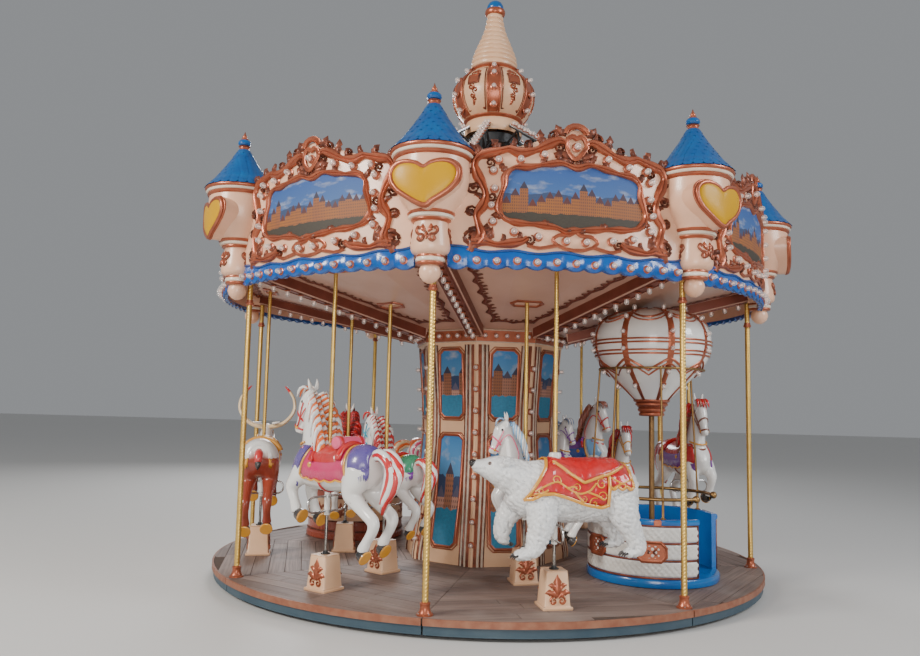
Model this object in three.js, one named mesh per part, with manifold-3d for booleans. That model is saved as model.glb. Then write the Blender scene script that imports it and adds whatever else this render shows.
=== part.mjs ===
// Fairground carousel with sixteen seats: a round deck that turns on a fixed base, an eight-sided
// centre column, a canopy with eight curved rounding boards and eight turrets, a crown on top,
// twelve galloping animals that rise and fall on their poles, a balloon car and a low tub car.
// Millimetres, +Z up, the origin on the ground under the centre. Angles run from -Y towards +X.

import * as THREE from "three";
import { mergeVertices } from "three/addons/utils/BufferGeometryUtils.js";
import Module from "manifold-3d";

const wasm = await Module();
wasm.setup();

// Driving dimensions
const SECTIONS = 8;
const SECTION_DEG = 360 / SECTIONS;
const GAP = 0.3; // between pieces that touch
const DECK_TOP = 140;
const DECK_THICK = 112;
const DECK_R = 2590;
const PLINTH_R = 2400;
const PLINTH_HIGH = 20;
const BEARING_R = 700;
const POST_RING_R = 2500;
const TURRET_RING_R = 2612;
const OUTER_RING_R = 2190; // poles of the outer row
const INNER_RING_R = 1390; // poles of the inner row
const CAR_RING_R = 1712;
const BALLOON_CAR_DEG = 67.5;
const TUB_CAR_DEG = BALLOON_CAR_DEG - 180;
const INNER_SCALE = 0.8; // the animals of the inner row are smaller

const COLUMN_R = 750; // corners of the column at its head
const COLUMN_FOOT_R = 820;
const COLUMN_WAIST_R = 680;
const COLUMN_TOP = 2289.7;
const MAST_R = 110;
const MAST_TOP = 4355;

const CEILING_SLOPE = 0.243;
const CEILING_THICK = 20;
const CEILING_INNER_R = 200;
const CEILING_OUTER_R = 2558.8;
const BEAM_DEPTH = 95;
const BEAM_WIDTH = 150;

const BOARD_INNER_R = 2560;
const BOARD_OUTER_R = 2600;
const BOARD_LOW = 2560;
const VALANCE_LOW = 2512;
const VALANCE_HIGH = 2672;
const VALANCE_OUTER_R = 2626;

const POLE_R = 18;
const SLEEVE_R = 23;
const GUIDE_R = 12;
const SLEEVE_BORE_R = GUIDE_R + 0.6;
const PEDESTAL_HIGH = 268;
const STROKE = 100; // each animal rises and falls by this from its middle height
const SLEEVE_LOW = 505; // over the deck, at the middle height
const ROD_TOP = SLEEVE_LOW + STROKE + 85;
const BORE_TOP = ROD_TOP + STROKE + 15;
const POLE_OVER_CEILING = STROKE + 30;

const material = (colour, roughness, metalness = 0) =>
  new THREE.MeshStandardMaterial({ color: colour, roughness, metalness });
const CREAM = material(0xe6c7a2, 0.35);
const COPPER = material(0xb0623f, 0.35, 0.5);
const BLUE = material(0x0f63b8, 0.3);
const GOLD = material(0xd9a441, 0.25, 0.9);
const WHITE = material(0xf2f2ef, 0.3);
const STEEL = material(0x3d454c, 0.5, 0.6);
const PLANK = material(0x6f625c, 0.8);

const carousel = new THREE.Group();

// Solids: a three.js geometry becomes a manifold solid for joining and cutting, and comes back
function solidOf(geometry) {
  const bare = geometry.index ? geometry.toNonIndexed() : geometry.clone();
  bare.deleteAttribute("normal");
  bare.deleteAttribute("uv");
  const merged = mergeVertices(bare, 1e-3);
  const made = new wasm.Manifold(
    new wasm.Mesh({
      numProp: 3,
      vertProperties: new Float32Array(merged.attributes.position.array),
      triVerts: new Uint32Array(merged.index.array),
    }),
  );
  return made;
}

function geometryOf(solid) {
  const mesh = solid.getMesh();
  const positions = new Float32Array(mesh.numVert * 3);
  for (let i = 0; i < mesh.numVert; i++)
    positions.set(mesh.vertProperties.subarray(i * mesh.numProp, i * mesh.numProp + 3), i * 3);
  return new THREE.BufferGeometry()
    .setAttribute("position", new THREE.BufferAttribute(positions, 3))
    .setIndex(new THREE.BufferAttribute(new Uint32Array(mesh.triVerts), 1));
}

const union = (solids) => solids.reduce((all, next) => all.add(next));

function addMesh(name, solid, finish, parent = carousel) {
  const mesh = new THREE.Mesh(geometryOf(solid), finish);
  mesh.name = name;
  parent.add(mesh);
  return mesh;
}

// A group at a place round the carousel, with its own +Y pointing outwards
function placeAt(deg, radius, high = 0) {
  const group = new THREE.Group();
  const angle = THREE.MathUtils.degToRad(deg);
  group.position.set(radius * Math.sin(angle), -radius * Math.cos(angle), high);
  group.rotation.z = angle + Math.PI;
  carousel.add(group);
  return group;
}

// A turned solid about Z from [radius, height] points that start and end on the axis, or close
function turned(points, sides) {
  const profile = points.map(([r, z]) => new THREE.Vector2(r, z));
  const geometry = new THREE.LatheGeometry(profile, sides);
  geometry.rotateX(Math.PI / 2);
  return solidOf(geometry);
}

function cylinder(radius, low, high, sides, x = 0, y = 0) {
  const geometry = new THREE.CylinderGeometry(radius, radius, high - low, sides);
  geometry.rotateX(Math.PI / 2);
  geometry.translate(x, y, (low + high) / 2);
  return solidOf(geometry);
}

function box(width, depth, height, x, y, z) {
  return solidOf(new THREE.BoxGeometry(width, depth, height).translate(x, y, z));
}

// A frustum with a square plan: widths at the foot and the head
function squareFrustum(footWidth, headWidth, low, high) {
  const toCorner = Math.SQRT2 / 2;
  const geometry = new THREE.CylinderGeometry(headWidth * toCorner, footWidth * toCorner, high - low, 4);
  geometry.rotateX(Math.PI / 2);
  geometry.rotateZ(Math.PI / 4);
  geometry.translate(0, 0, (low + high) / 2);
  return solidOf(geometry);
}

// A skin over oval rings along a path: each ring is [x, y, z, half width, half height].
// The half width lies along `across`, and the half height square to it and to the path.
function loft(rings, sides, across = [0, 1, 0], closed = false) {
  const centres = rings.map(([x, y, z]) => new THREE.Vector3(x, y, z));
  const side = new THREE.Vector3(...across);
  const count = rings.length;
  const positions = [];
  rings.forEach(([, , , halfWidth, halfHeight], i) => {
    const before = centres[closed ? (i + count - 1) % count : Math.max(i - 1, 0)];
    const after = centres[closed ? (i + 1) % count : Math.min(i + 1, count - 1)];
    const along = after.clone().sub(before).normalize();
    const u = side.clone().addScaledVector(along, -side.dot(along)).normalize();
    const v = along.clone().cross(u);
    for (let k = 0; k < sides; k++) {
      const turn = (2 * Math.PI * (k + 0.5)) / sides;
      const point = centres[i]
        .clone()
        .addScaledVector(u, Math.cos(turn) * halfWidth)
        .addScaledVector(v, Math.sin(turn) * halfHeight);
      positions.push(point.x, point.y, point.z);
    }
  });
  const index = [];
  const spans = closed ? count : count - 1;
  for (let i = 0; i < spans; i++)
    for (let k = 0; k < sides; k++) {
      const next = (k + 1) % sides;
      const here = i * sides;
      const there = ((i + 1) % count) * sides;
      index.push(here + k, here + next, there + next, here + k, there + next, there + k);
    }
  if (!closed)
    for (let k = 1; k < sides - 1; k++) {
      index.push(0, k + 1, k);
      const last = (count - 1) * sides;
      index.push(last, last + k, last + k + 1);
    }
  const geometry = new THREE.BufferGeometry();
  geometry.setAttribute("position", new THREE.BufferAttribute(new Float32Array(positions), 3));
  geometry.setIndex(index);
  return solidOf(geometry);
}

// A panel bent round the carousel between two angles, with its foot and head as functions of the
// share of the way across
function bentPanel(fromDeg, toDeg, steps, innerR, outerR, lowAt, highAt) {
  const positions = [];
  for (let i = 0; i <= steps; i++) {
    const share = i / steps;
    const angle = THREE.MathUtils.degToRad(fromDeg + (toDeg - fromDeg) * share);
    const corners = [
      [innerR, lowAt(share)],
      [outerR, lowAt(share)],
      [outerR, highAt(share)],
      [innerR, highAt(share)],
    ];
    for (const [r, z] of corners) positions.push(r * Math.sin(angle), -r * Math.cos(angle), z);
  }
  const index = [];
  for (let i = 0; i < steps; i++)
    for (let k = 0; k < 4; k++) {
      const here = i * 4;
      const next = (k + 1) % 4;
      index.push(here + k, here + 4 + next, here + next, here + k, here + 4 + k, here + 4 + next);
    }
  index.push(0, 1, 2, 0, 2, 3);
  const last = steps * 4;
  index.push(last, last + 2, last + 1, last, last + 3, last + 2);
  const geometry = new THREE.BufferGeometry();
  geometry.setAttribute("position", new THREE.BufferAttribute(new Float32Array(positions), 3));
  geometry.setIndex(index);
  return solidOf(geometry);
}

const sectionAngles = Array.from({ length: SECTIONS }, (_, i) => i * SECTION_DEG);

// Base: a low round steel plinth with the bearing drum that the deck turns on
function buildBase() {
  const profile = [
    [0, 0],
    [PLINTH_R, 0],
    [PLINTH_R, PLINTH_HIGH],
    [BEARING_R, PLINTH_HIGH],
    [BEARING_R, DECK_TOP - DECK_THICK - GAP],
    [0, DECK_TOP - DECK_THICK - GAP],
  ];
  addMesh("base_plinth", turned(profile, 40), STEEL);
}

// Deck: a round platform with a rim a little proud of the skirt under it, which carries the
// pedestals of the animals: a tapered box each, with the guide rod that the sleeve slides on
function buildDeck() {
  const BOTTOM = DECK_TOP - DECK_THICK;
  const SKIRT_R = DECK_R - 14;
  const RIM_HIGH = 48;
  const profile = [
    [0, BOTTOM],
    [SKIRT_R, BOTTOM],
    [SKIRT_R, DECK_TOP - RIM_HIGH],
    [DECK_R, DECK_TOP - RIM_HIGH],
    [DECK_R, DECK_TOP],
    [0, DECK_TOP],
  ];
  const pedestal = union([
    squareFrustum(225, 225, -5, 22),
    squareFrustum(194, 160, 20, PEDESTAL_HIGH),
    cylinder(GUIDE_R, PEDESTAL_HIGH - 2, ROD_TOP, 8),
  ]);
  const pedestals = RIDES.map((ride) =>
    pedestal.rotate([0, 0, ride.deg]).translate(ringPoint(ride.deg, rowRadius(ride), DECK_TOP)),
  );
  addMesh("deck", union([turned(profile, 48), ...pedestals]), PLANK);
}

// Column: eight-sided, wide at the foot and the head with a waist between
function buildColumn() {
  const foot = DECK_TOP + GAP;
  const profile = [
    [0, foot],
    [COLUMN_FOOT_R, foot],
    [COLUMN_FOOT_R, foot + 60],
    [COLUMN_WAIST_R + 40, 760],
    [COLUMN_WAIST_R, 1240],
    [COLUMN_WAIST_R + 5, 1560],
    [COLUMN_R - 15, 2150],
    [COLUMN_R, 2190],
    [COLUMN_R, COLUMN_TOP],
    [0, COLUMN_TOP],
  ];
  addMesh("centre_column", turned(profile, SECTIONS), CREAM);
}

const ceilingAt = (r) => 2290 + CEILING_SLOPE * (r - COLUMN_R);

// Turret outline, from the bulb under it to the finial, as [radius, height]
const TURRET = [
  [0, 2405],
  [55, 2432],
  [82, 2490],
  [78, 2530],
  [88, 2556],
  [103, 2575],
  [103, 2612],
  [138, 2625],
  [142, 2650],
  [132, 2760],
  [119, 2855],
  [168, 2862],
  [172, 2900],
  [185, 2935],
  [240, 3020],
  [270, 3120],
  [270, 3280],
  [298, 3290],
  [298, 3340],
  [235, 3400],
  [165, 3500],
  [95, 3605],
  [36, 3700],
  [52, 3760],
  [0, 3870],
];
const TURRET_SIDES = 8;

// The same outline, a little larger, to cut what meets a turret
function turretCut(deg) {
  const CUT_GAP = 0.6;
  const grown = TURRET.map(([r, z], i) => {
    if (i === 0) return [0, z - CUT_GAP];
    if (i === TURRET.length - 1) return [0, z + CUT_GAP];
    return [r + CUT_GAP * 1.6, z];
  });
  return turned(grown, TURRET_SIDES).rotate([0, 0, deg]).translate(ringPoint(deg, TURRET_RING_R));
}

function ringPoint(deg, r, z = 0) {
  const angle = THREE.MathUtils.degToRad(deg);
  return [r * Math.sin(angle), -r * Math.cos(angle), z];
}

// Turrets: one over each post, cut back where the post stands
function buildTurrets() {
  const heart = heartRelief();
  sectionAngles.forEach((deg, i) => {
    const postRoom = cylinder(32, 2300, 2640, 12).translate(ringPoint(0, POST_RING_R));
    const body = turned(TURRET, TURRET_SIDES).translate(ringPoint(0, TURRET_RING_R));
    const solid = body.add(heart).subtract(postRoom).rotate([0, 0, deg]);
    addMesh(`turret_${i + 1}`, solid, CREAM);
  });
}

// The domed heart on the front of a turret
function heartRelief() {
  const HALF_WIDTH = 235;
  const CENTRE_Z = 3060;
  const TIP = -150;
  const LOBE = 60;
  const shape = new THREE.Shape();
  shape.moveTo(0, TIP);
  shape.bezierCurveTo(-130, -115, -HALF_WIDTH, -45, -HALF_WIDTH, LOBE);
  shape.bezierCurveTo(-HALF_WIDTH, 175, -80, 190, 0, 120);
  shape.bezierCurveTo(80, 190, HALF_WIDTH, 175, HALF_WIDTH, LOBE);
  shape.bezierCurveTo(HALF_WIDTH, -45, 130, -115, 0, TIP);
  const geometry = new THREE.ExtrudeGeometry(shape, { depth: 140, bevelEnabled: false, curveSegments: 2 });
  geometry.rotateX(Math.PI / 2);
  geometry.translate(0, -(TURRET_RING_R + 140), CENTRE_Z);
  return solidOf(geometry);
}

// Rounding boards: cream boards bent round the canopy, with a shaped head and crest, and the blue
// valance along the foot
function buildBoards() {
  const crest = (share) => {
    const across = Math.abs(share - 0.5) * 2;
    const shoulder = 3395 - 80 * Math.max(0, (across - 0.8) / 0.2);
    const dip = 35 * Math.exp(-(((across - 0.55) / 0.12) ** 2));
    const peak = 150 * Math.exp(-((across / 0.26) ** 2));
    return shoulder - dip + peak;
  };
  const cuts = sectionAngles.map(turretCut);
  sectionAngles.forEach((deg, i) => {
    const next = (i + 1) % SECTIONS;
    const from = deg;
    const to = deg + SECTION_DEG;
    const board = bentPanel(from, to, 16, BOARD_INNER_R, BOARD_OUTER_R, () => BOARD_LOW, crest);
    const valance = bentPanel(
      from, to, 6, BOARD_INNER_R + 10, VALANCE_OUTER_R, () => VALANCE_LOW, () => VALANCE_HIGH,
    );
    const whole = board.add(valance).subtract(cuts[i]).subtract(cuts[next]);
    addMesh(`rounding_board_${i + 1}`, whole, CREAM);
  });
}

// Posts: twisted brass tubes with a flared foot, from the deck to the canopy beams
function buildPosts() {
  const FOOT_R = 58;
  const TOP = 2612;
  sectionAngles.forEach((deg, i) => {
    const profile = [
      [0, DECK_TOP + GAP],
      [FOOT_R, DECK_TOP + GAP],
      [FOOT_R, DECK_TOP + 14],
      [36, DECK_TOP + 80],
      [24, DECK_TOP + 90],
      [24, TOP],
      [0, TOP],
    ];
    const solid = turned(profile, 8).translate(ringPoint(deg, POST_RING_R));
    addMesh(`post_${i + 1}`, solid, GOLD);
  });
}

// The animals. Each is drawn in its own frame: +X forwards, +Y to its left, Z from the deck, with
// the pole on the Z axis. Its middle height puts the belly about 0.75 m over the deck.
const HORSE_BODY = [
  [-500, 0, 905, 70, 95],
  [-420, 0, 895, 140, 155],
  [-200, 0, 855, 160, 165],
  [100, 0, 870, 150, 172],
  [285, 0, 940, 60, 110],
];
const HORSE_NECK = [
  [130, 0, 925, 90, 135],
  [155, 0, 1140, 68, 118],
  [195, 0, 1330, 54, 88],
  [222, 0, 1420, 34, 46],
];
const HORSE_HEAD = [
  [170, 0, 1440, 34, 36],
  [232, 0, 1392, 56, 78],
  [290, 0, 1275, 46, 62],
  [350, 0, 1150, 32, 38],
];
const HORSE_TAIL = [
  [-430, 0, 965, 40, 40],
  [-555, 0, 985, 56, 56],
  [-675, 0, 885, 60, 60],
  [-655, 0, 755, 54, 54],
  [-560, 0, 590, 28, 28],
];
const HORSE_LEGS = [
  [[150, 85, 850, 72, 72], [300, 90, 715, 48, 48], [220, 90, 470, 46, 46]],
  [[150, -85, 850, 72, 72], [275, -90, 685, 48, 48], [195, -90, 425, 46, 46]],
  [[-370, 90, 860, 90, 90], [-375, 95, 690, 64, 64], [-585, 95, 505, 44, 46], [-435, 95, 235, 46, 46]],
  [[-370, -90, 860, 90, 90], [-395, -95, 700, 64, 64], [-600, -95, 525, 44, 46], [-465, -95, 262, 46, 46]],
];

const LEG_SIDES = 4;

function horse() {
  return [
    loft(HORSE_BODY, 7),
    loft(HORSE_NECK, 5),
    loft(HORSE_HEAD, 5),
    loft(HORSE_TAIL, 4),
    ...HORSE_LEGS.map((leg) => loft(leg, LEG_SIDES)),
  ];
}

function elk() {
  const neck = [[150, 0, 925, 88, 125], [270, 0, 1005, 72, 105], [365, 0, 1090, 56, 80]];
  const head = [[325, 0, 1135, 42, 46], [400, 0, 1095, 52, 68], [510, 0, 990, 30, 36]];
  const antlers = [1, -1].map((sign) =>
    loft(
      [[345, sign * 25, 1140, 26, 26], [330, sign * 160, 1185, 26, 26], [316, sign * 262, 1310, 24, 24],
        [322, sign * 262, 1420, 20, 20], [345, sign * 165, 1560, 10, 10]],
      4, [1, 0, 0],
    ),
  );
  return [
    loft(HORSE_BODY, 7),
    loft(neck, 5),
    loft(head, 5),
    loft([[-465, 0, 950, 40, 40], [-550, 0, 890, 36, 32], [-560, 0, 790, 12, 12]], 4),
    ...HORSE_LEGS.map((leg) => loft(leg, LEG_SIDES)),
    ...antlers,
  ];
}

function bear() {
  const body = [
    [-600, 0, 895, 85, 120],
    [-515, 0, 882, 170, 198],
    [-240, 0, 868, 200, 225],
    [140, 0, 882, 190, 222],
    [310, 0, 935, 110, 150],
  ];
  const head = [
    [190, 0, 915, 150, 178],
    [310, 0, 985, 128, 134],
    [440, 0, 1040, 102, 102],
    [545, 0, 1062, 60, 58],
    [615, 0, 1076, 32, 32],
  ];
  const legs = [
    [[150, 120, 790, 95, 120], [215, 135, 620, 76, 84], [228, 135, 430, 64, 58]],
    [[190, -120, 790, 90, 110], [330, -135, 640, 70, 76], [330, -135, 485, 60, 56]],
    [[-450, 120, 810, 105, 130], [-550, 135, 620, 76, 80], [-635, 135, 415, 60, 54]],
    [[-420, -120, 810, 105, 130], [-510, -135, 620, 76, 80], [-580, -135, 450, 60, 54]],
  ];
  return [loft(body, 8), loft(head, 6), ...legs.map((leg) => loft(leg, LEG_SIDES + 1))];
}

// A pole with the hollow sleeve over the guide rod and the foot hoop
function poleSet(topZ) {
  const HOOP_Z = 590;
  const HOOP_HALF_LONG = 205;
  const HOOP_HALF_HIGH = 58;
  const HOOP_R = 9;
  const SLEEVE_TOP = 760;
  const hoop = [];
  for (const sign of [1, -1])
    for (let k = 0; k <= 3; k++) {
      const turn = sign * (Math.PI / 2 - (k * Math.PI) / 3);
      const y = sign * (HOOP_HALF_LONG - HOOP_HALF_HIGH + HOOP_HALF_HIGH * Math.cos(turn));
      hoop.push([0, y, HOOP_Z + HOOP_HALF_HIGH * Math.sin(turn), HOOP_R, HOOP_R]);
    }
  return {
    add: [
      cylinder(POLE_R, SLEEVE_TOP, topZ, 8),
      cylinder(SLEEVE_R, SLEEVE_LOW, SLEEVE_TOP, 8),
      loft(hoop, 4, [1, 0, 0], true),
    ],
    cut: cylinder(SLEEVE_BORE_R, SLEEVE_LOW - 5, BORE_TOP, 8),
  };
}

// Rides: the place, the kind of animal, and how far it stands above or below its middle height
const RIDES = [
  { name: "horse_1", deg: -25, row: "outer", kind: "horse", lift: 60 },
  { name: "horse_2", deg: -30, row: "inner", kind: "horse", lift: 20 },
  { name: "bear", deg: 22.5, row: "outer", kind: "bear", lift: -60 },
  { name: "horse_3", deg: 22.5, row: "inner", kind: "horse", lift: 0 },
  { name: "horse_4", deg: 112.5, row: "outer", kind: "horse", lift: 60 },
  { name: "horse_5", deg: 112.5, row: "inner", kind: "horse", lift: -70 },
  { name: "horse_6", deg: 157.5, row: "outer", kind: "horse", lift: 30 },
  { name: "horse_7", deg: 157.5, row: "inner", kind: "horse", lift: -20 },
  { name: "horse_8", deg: -157.5, row: "outer", kind: "horse", lift: -40 },
  { name: "horse_9", deg: -157.5, row: "inner", kind: "horse", lift: 60 },
  { name: "elk", deg: -69, row: "outer", kind: "elk", lift: 30 },
  { name: "horse_10", deg: -74, row: "inner", kind: "horse", lift: 50 },
];
const rowRadius = (ride) => (ride.row === "outer" ? OUTER_RING_R : INNER_RING_R);

function buildRides() {
  const animals = { horse, elk, bear };
  const SCALE_ABOUT = 700; // the belly keeps its height when an animal is made smaller
  for (const ride of RIDES) {
    const radius = rowRadius(ride);
    const scale = ride.row === "outer" ? 1 : INNER_SCALE;
    const poleTop = ceilingAt(radius) - DECK_TOP + POLE_OVER_CEILING;
    const set = poleSet(poleTop);
    const animal = union(animals[ride.kind]())
      .translate([0, 0, -SCALE_ABOUT])
      .scale([scale, scale, scale])
      .translate([0, 0, SCALE_ABOUT]);
    const place = placeAt(ride.deg, radius, DECK_TOP + ride.lift);
    addMesh(ride.name, union([animal, ...set.add]).subtract(set.cut), WHITE, place);
  }
}

// Ceiling: a shallow funnel with eight beams under it and a framed slot for every pole
function buildCeiling() {
  const inner = ceilingAt(COLUMN_R);
  const outer = ceilingAt(CEILING_OUTER_R);
  const profile = [
    [CEILING_INNER_R, inner],
    [COLUMN_R, inner],
    [CEILING_OUTER_R, outer],
    [CEILING_OUTER_R, outer + CEILING_THICK],
    [COLUMN_R, inner + CEILING_THICK],
    [CEILING_INNER_R, inner + CEILING_THICK],
    [CEILING_INNER_R, inner],
  ];
  const SLOT_LONG = 210;
  const SLOT_WIDE = 64;
  const BEAM_FROM = COLUMN_R + 40;
  const BEAM_TO = CEILING_OUTER_R - 12;
  const tilt = Math.atan(CEILING_SLOPE);
  const parts = [turned(profile, 24)];
  for (const deg of sectionAngles) {
    const long = (BEAM_TO - BEAM_FROM) / Math.cos(tilt);
    const middle = (BEAM_FROM + BEAM_TO) / 2;
    const beam = new THREE.BoxGeometry(BEAM_WIDTH, long, BEAM_DEPTH);
    beam.rotateX(-tilt).translate(0, -middle, ceilingAt(middle) - BEAM_DEPTH / 2 + 3);
    beam.rotateZ(THREE.MathUtils.degToRad(deg));
    parts.push(solidOf(beam));
  }
  const slots = [];
  for (const ride of RIDES) {
    const r = rowRadius(ride);
    slots.push(box(SLOT_LONG, SLOT_WIDE, 200, 0, -r, ceilingAt(r)).rotate([0, 0, ride.deg]));
  }
  let whole = union(parts);
  for (const slot of slots) whole = whole.subtract(slot);
  for (const deg of sectionAngles) whole = whole.subtract(turretCut(deg));
  addMesh("ceiling", whole, CREAM);
}

// Crown frame: the steel mast on the column head, its hub, and eight deep lattice arms that fall
// from the hub to the backs of the turrets
function buildCrownFrame() {
  const ARM_WIDE = 52;
  const ARM_DEEP = 110;
  const HUB_R = 255;
  const HUB_LOW = 4235;
  const mast = cylinder(MAST_R, COLUMN_TOP + GAP, MAST_TOP, 12);
  const hub = cylinder(HUB_R, HUB_LOW, MAST_TOP, 16);
  const arms = sectionAngles.map((deg) =>
    loft(
      [[0, -200, 4290, ARM_WIDE / 2, ARM_DEEP / 2], [0, -2460, 2990, ARM_WIDE / 2, ARM_DEEP / 2]],
      4, [1, 0, 0],
    )
      .rotate([0, 0, deg])
      .subtract(turretCut(deg)),
  );
  addMesh("crown_frame", union([mast, hub, ...arms]), STEEL);
}

// Crown: a ribbed bowl with a twisted cone and a blue knob, standing on the mast
function buildCrown() {
  const profile = [
    [0, MAST_TOP + GAP],
    [300, MAST_TOP + GAP],
    [305, 4400],
    [285, 4500],
    [290, 4526],
    [375, 4609],
    [427, 4741],
    [405, 4873],
    [310, 4989],
    [250, 5045],
    [250, 5085],
    [236, 5120],
    [232, 5207],
    [205, 5293],
    [140, 5444],
    [105, 5530],
    [82, 5690],
    [105, 5705],
    [105, 5760],
    [88, 5780],
    [68, 5835],
    [0, 5862],
  ];
  addMesh("crown", turned(profile, 16), CREAM);
}

// A round tub with a floor, a wall that is open on the outer side, and a bench along the inner side
function tub(radius, wall, high, openDeg, benchHigh) {
  const FLOOR = 70;
  const outside = turned(
    [[0, GAP], [radius + 12, GAP], [radius + 12, FLOOR], [radius - 4, FLOOR + 4], [radius, high - 30],
      [radius + 8, high - 24], [radius + 8, high], [0, high]],
    28,
  );
  const inside = cylinder(radius - wall, FLOOR, high + 10, 28);
  const half = THREE.MathUtils.degToRad(openDeg / 2);
  const reach = radius * 2;
  const wedge = new THREE.Shape([
    new THREE.Vector2(0, 0),
    new THREE.Vector2(-reach * Math.sin(half), reach * Math.cos(half)),
    new THREE.Vector2(reach * Math.sin(half), reach * Math.cos(half)),
  ]);
  const door = solidOf(
    new THREE.ExtrudeGeometry(wedge, { depth: high, bevelEnabled: false }).translate(0, 0, FLOOR),
  );
  const seatLine = box(radius * 2, radius, benchHigh, 0, -radius * 0.72, FLOOR + benchHigh / 2 - 2);
  const bench = cylinder(radius - wall + 1, FLOOR - 2, FLOOR + benchHigh, 28).intersect(seatLine);
  return outside.subtract(inside).subtract(door).add(bench);
}

const BASKET_R = 552;
const BASKET_WALL = 45;
const BASKET_HIGH = 545;
const BASKET_OPEN_DEG = 54;
const RAIL_R = 525;
const RAIL_Z = 705;

// Balloon car: the woven basket, its handrail on short pillars with the stays and their ring, and
// the balloon with its cup on the centre pole
function buildBalloonCar() {
  const place = () => placeAt(BALLOON_CAR_DEG, CAR_RING_R, DECK_TOP);
  const basket = tub(BASKET_R, BASKET_WALL, BASKET_HIGH, BASKET_OPEN_DEG, 340);
  addMesh("balloon_basket", basket, BLUE, place());

  const STAY_RING_R = 452;
  const STAY_RING_Z = 1785;
  const arc = [];
  const steps = 14;
  for (let k = 0; k <= steps; k++) {
    const turn = THREE.MathUtils.degToRad(
      90 + BASKET_OPEN_DEG / 2 + ((360 - BASKET_OPEN_DEG) * k) / steps,
    );
    arc.push([RAIL_R * Math.cos(turn), RAIL_R * Math.sin(turn), RAIL_Z, 15, 15]);
  }
  const ends = [arc[0], arc[steps]].map(([x, y, z]) =>
    solidOf(new THREE.SphereGeometry(32, 6, 4).rotateX(Math.PI / 2).translate(x, y, z)),
  );
  const ring = [];
  const ringSteps = 16;
  for (let k = 0; k < ringSteps; k++) {
    const turn = (2 * Math.PI * k) / ringSteps;
    ring.push([STAY_RING_R * Math.cos(turn), STAY_RING_R * Math.sin(turn), STAY_RING_Z, 10, 10]);
  }
  const onRing = (deg, r, z, thick) => {
    const turn = THREE.MathUtils.degToRad(deg);
    return [r * Math.cos(turn), r * Math.sin(turn), z, thick, thick];
  };
  const stayDegs = [150, 200, 245, 295, 340, 30];
  const rods = stayDegs.map((deg) =>
    loft([onRing(deg, RAIL_R, RAIL_Z, 10), onRing(deg, STAY_RING_R, STAY_RING_Z, 10)], 5, [0, 0.1, 1]),
  );
  const pillars = stayDegs.map((deg) =>
    cylinder(11, BASKET_HIGH + GAP, RAIL_Z, 5).translate(onRing(deg, RAIL_R, 0, 0).slice(0, 3)),
  );
  const across = [0, 0, 1];
  addMesh(
    "balloon_rail",
    union([loft(arc, 5, across), loft(ring, 5, across, true), ...ends, ...rods, ...pillars]),
    GOLD,
    place(),
  );

  const profile = [
    [0, 70 + GAP],
    [24, 70 + GAP],
    [24, 1375],
    [112, 1378],
    [120, 1420],
    [160, 1500],
    [160, 1520],
    [235, 1605],
    [330, 1690],
    [425, 1785],
    [493, 1895],
    [517, 2000],
    [512, 2105],
    [480, 2185],
    [400, 2250],
    [230, 2312],
    [0, 2345],
  ];
  addMesh("balloon", turned(profile, 16), WHITE, place());
}

// Tub car: a low round car opposite the balloon car
function buildTubCar() {
  const place = placeAt(TUB_CAR_DEG, CAR_RING_R, DECK_TOP);
  addMesh("tub_car", tub(520, 45, 560, 80, 330), COPPER, place);
}

buildBase();
buildDeck();
buildColumn();
buildCeiling();
buildCrownFrame();
buildBoards();
buildTurrets();
buildPosts();
buildCrown();
buildBalloonCar();
buildTubCar();
buildRides();

export default carousel;
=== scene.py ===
import math
import random

import bpy
from mathutils import Matrix, Vector, noise
from mathutils.bvhtree import BVHTree


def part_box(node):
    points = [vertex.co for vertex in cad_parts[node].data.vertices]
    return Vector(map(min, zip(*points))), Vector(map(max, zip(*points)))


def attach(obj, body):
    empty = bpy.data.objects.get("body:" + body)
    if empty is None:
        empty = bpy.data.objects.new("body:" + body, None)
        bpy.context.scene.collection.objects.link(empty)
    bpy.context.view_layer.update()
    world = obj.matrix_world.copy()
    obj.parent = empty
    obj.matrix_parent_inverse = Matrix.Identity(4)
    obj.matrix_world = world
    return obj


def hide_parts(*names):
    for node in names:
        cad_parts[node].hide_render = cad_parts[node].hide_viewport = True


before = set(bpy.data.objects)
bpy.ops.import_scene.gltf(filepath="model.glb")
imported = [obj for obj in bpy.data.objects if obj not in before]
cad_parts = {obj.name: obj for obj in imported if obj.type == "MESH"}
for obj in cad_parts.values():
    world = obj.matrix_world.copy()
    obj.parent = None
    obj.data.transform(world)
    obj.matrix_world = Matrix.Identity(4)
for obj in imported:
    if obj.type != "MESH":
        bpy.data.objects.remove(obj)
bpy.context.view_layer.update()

# Camera
# The photo was taken standing, a little left of the axis, with the first post nearly in front.
# Its frame is 920 by 656, and the lens is given in that frame's pixels.
PHOTO_WIDTH = 920
FOCAL_PIXELS = 789.2
EYE = Vector((1.298, -7.910, 1.555))
YAW, PITCH, ROLL = math.radians(-11.46), math.radians(5.76), math.radians(1.27)
ahead = Vector((math.sin(YAW) * math.cos(PITCH), math.cos(YAW) * math.cos(PITCH), math.sin(PITCH)))
level_right = Vector((math.cos(YAW), -math.sin(YAW), 0))
level_up = level_right.cross(ahead)
right = level_right * math.cos(ROLL) + level_up * math.sin(ROLL)
up = level_up * math.cos(ROLL) - level_right * math.sin(ROLL)
lens = bpy.data.cameras.new("camera")
lens.sensor_width = 36
lens.lens = FOCAL_PIXELS / PHOTO_WIDTH * lens.sensor_width
camera = bpy.data.objects.new("camera", lens)
camera.matrix_world = Matrix.Translation(EYE) @ Matrix((right, up, -ahead)).transposed().to_4x4()
bpy.context.scene.collection.objects.link(camera)
bpy.context.scene.camera = camera


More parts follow.
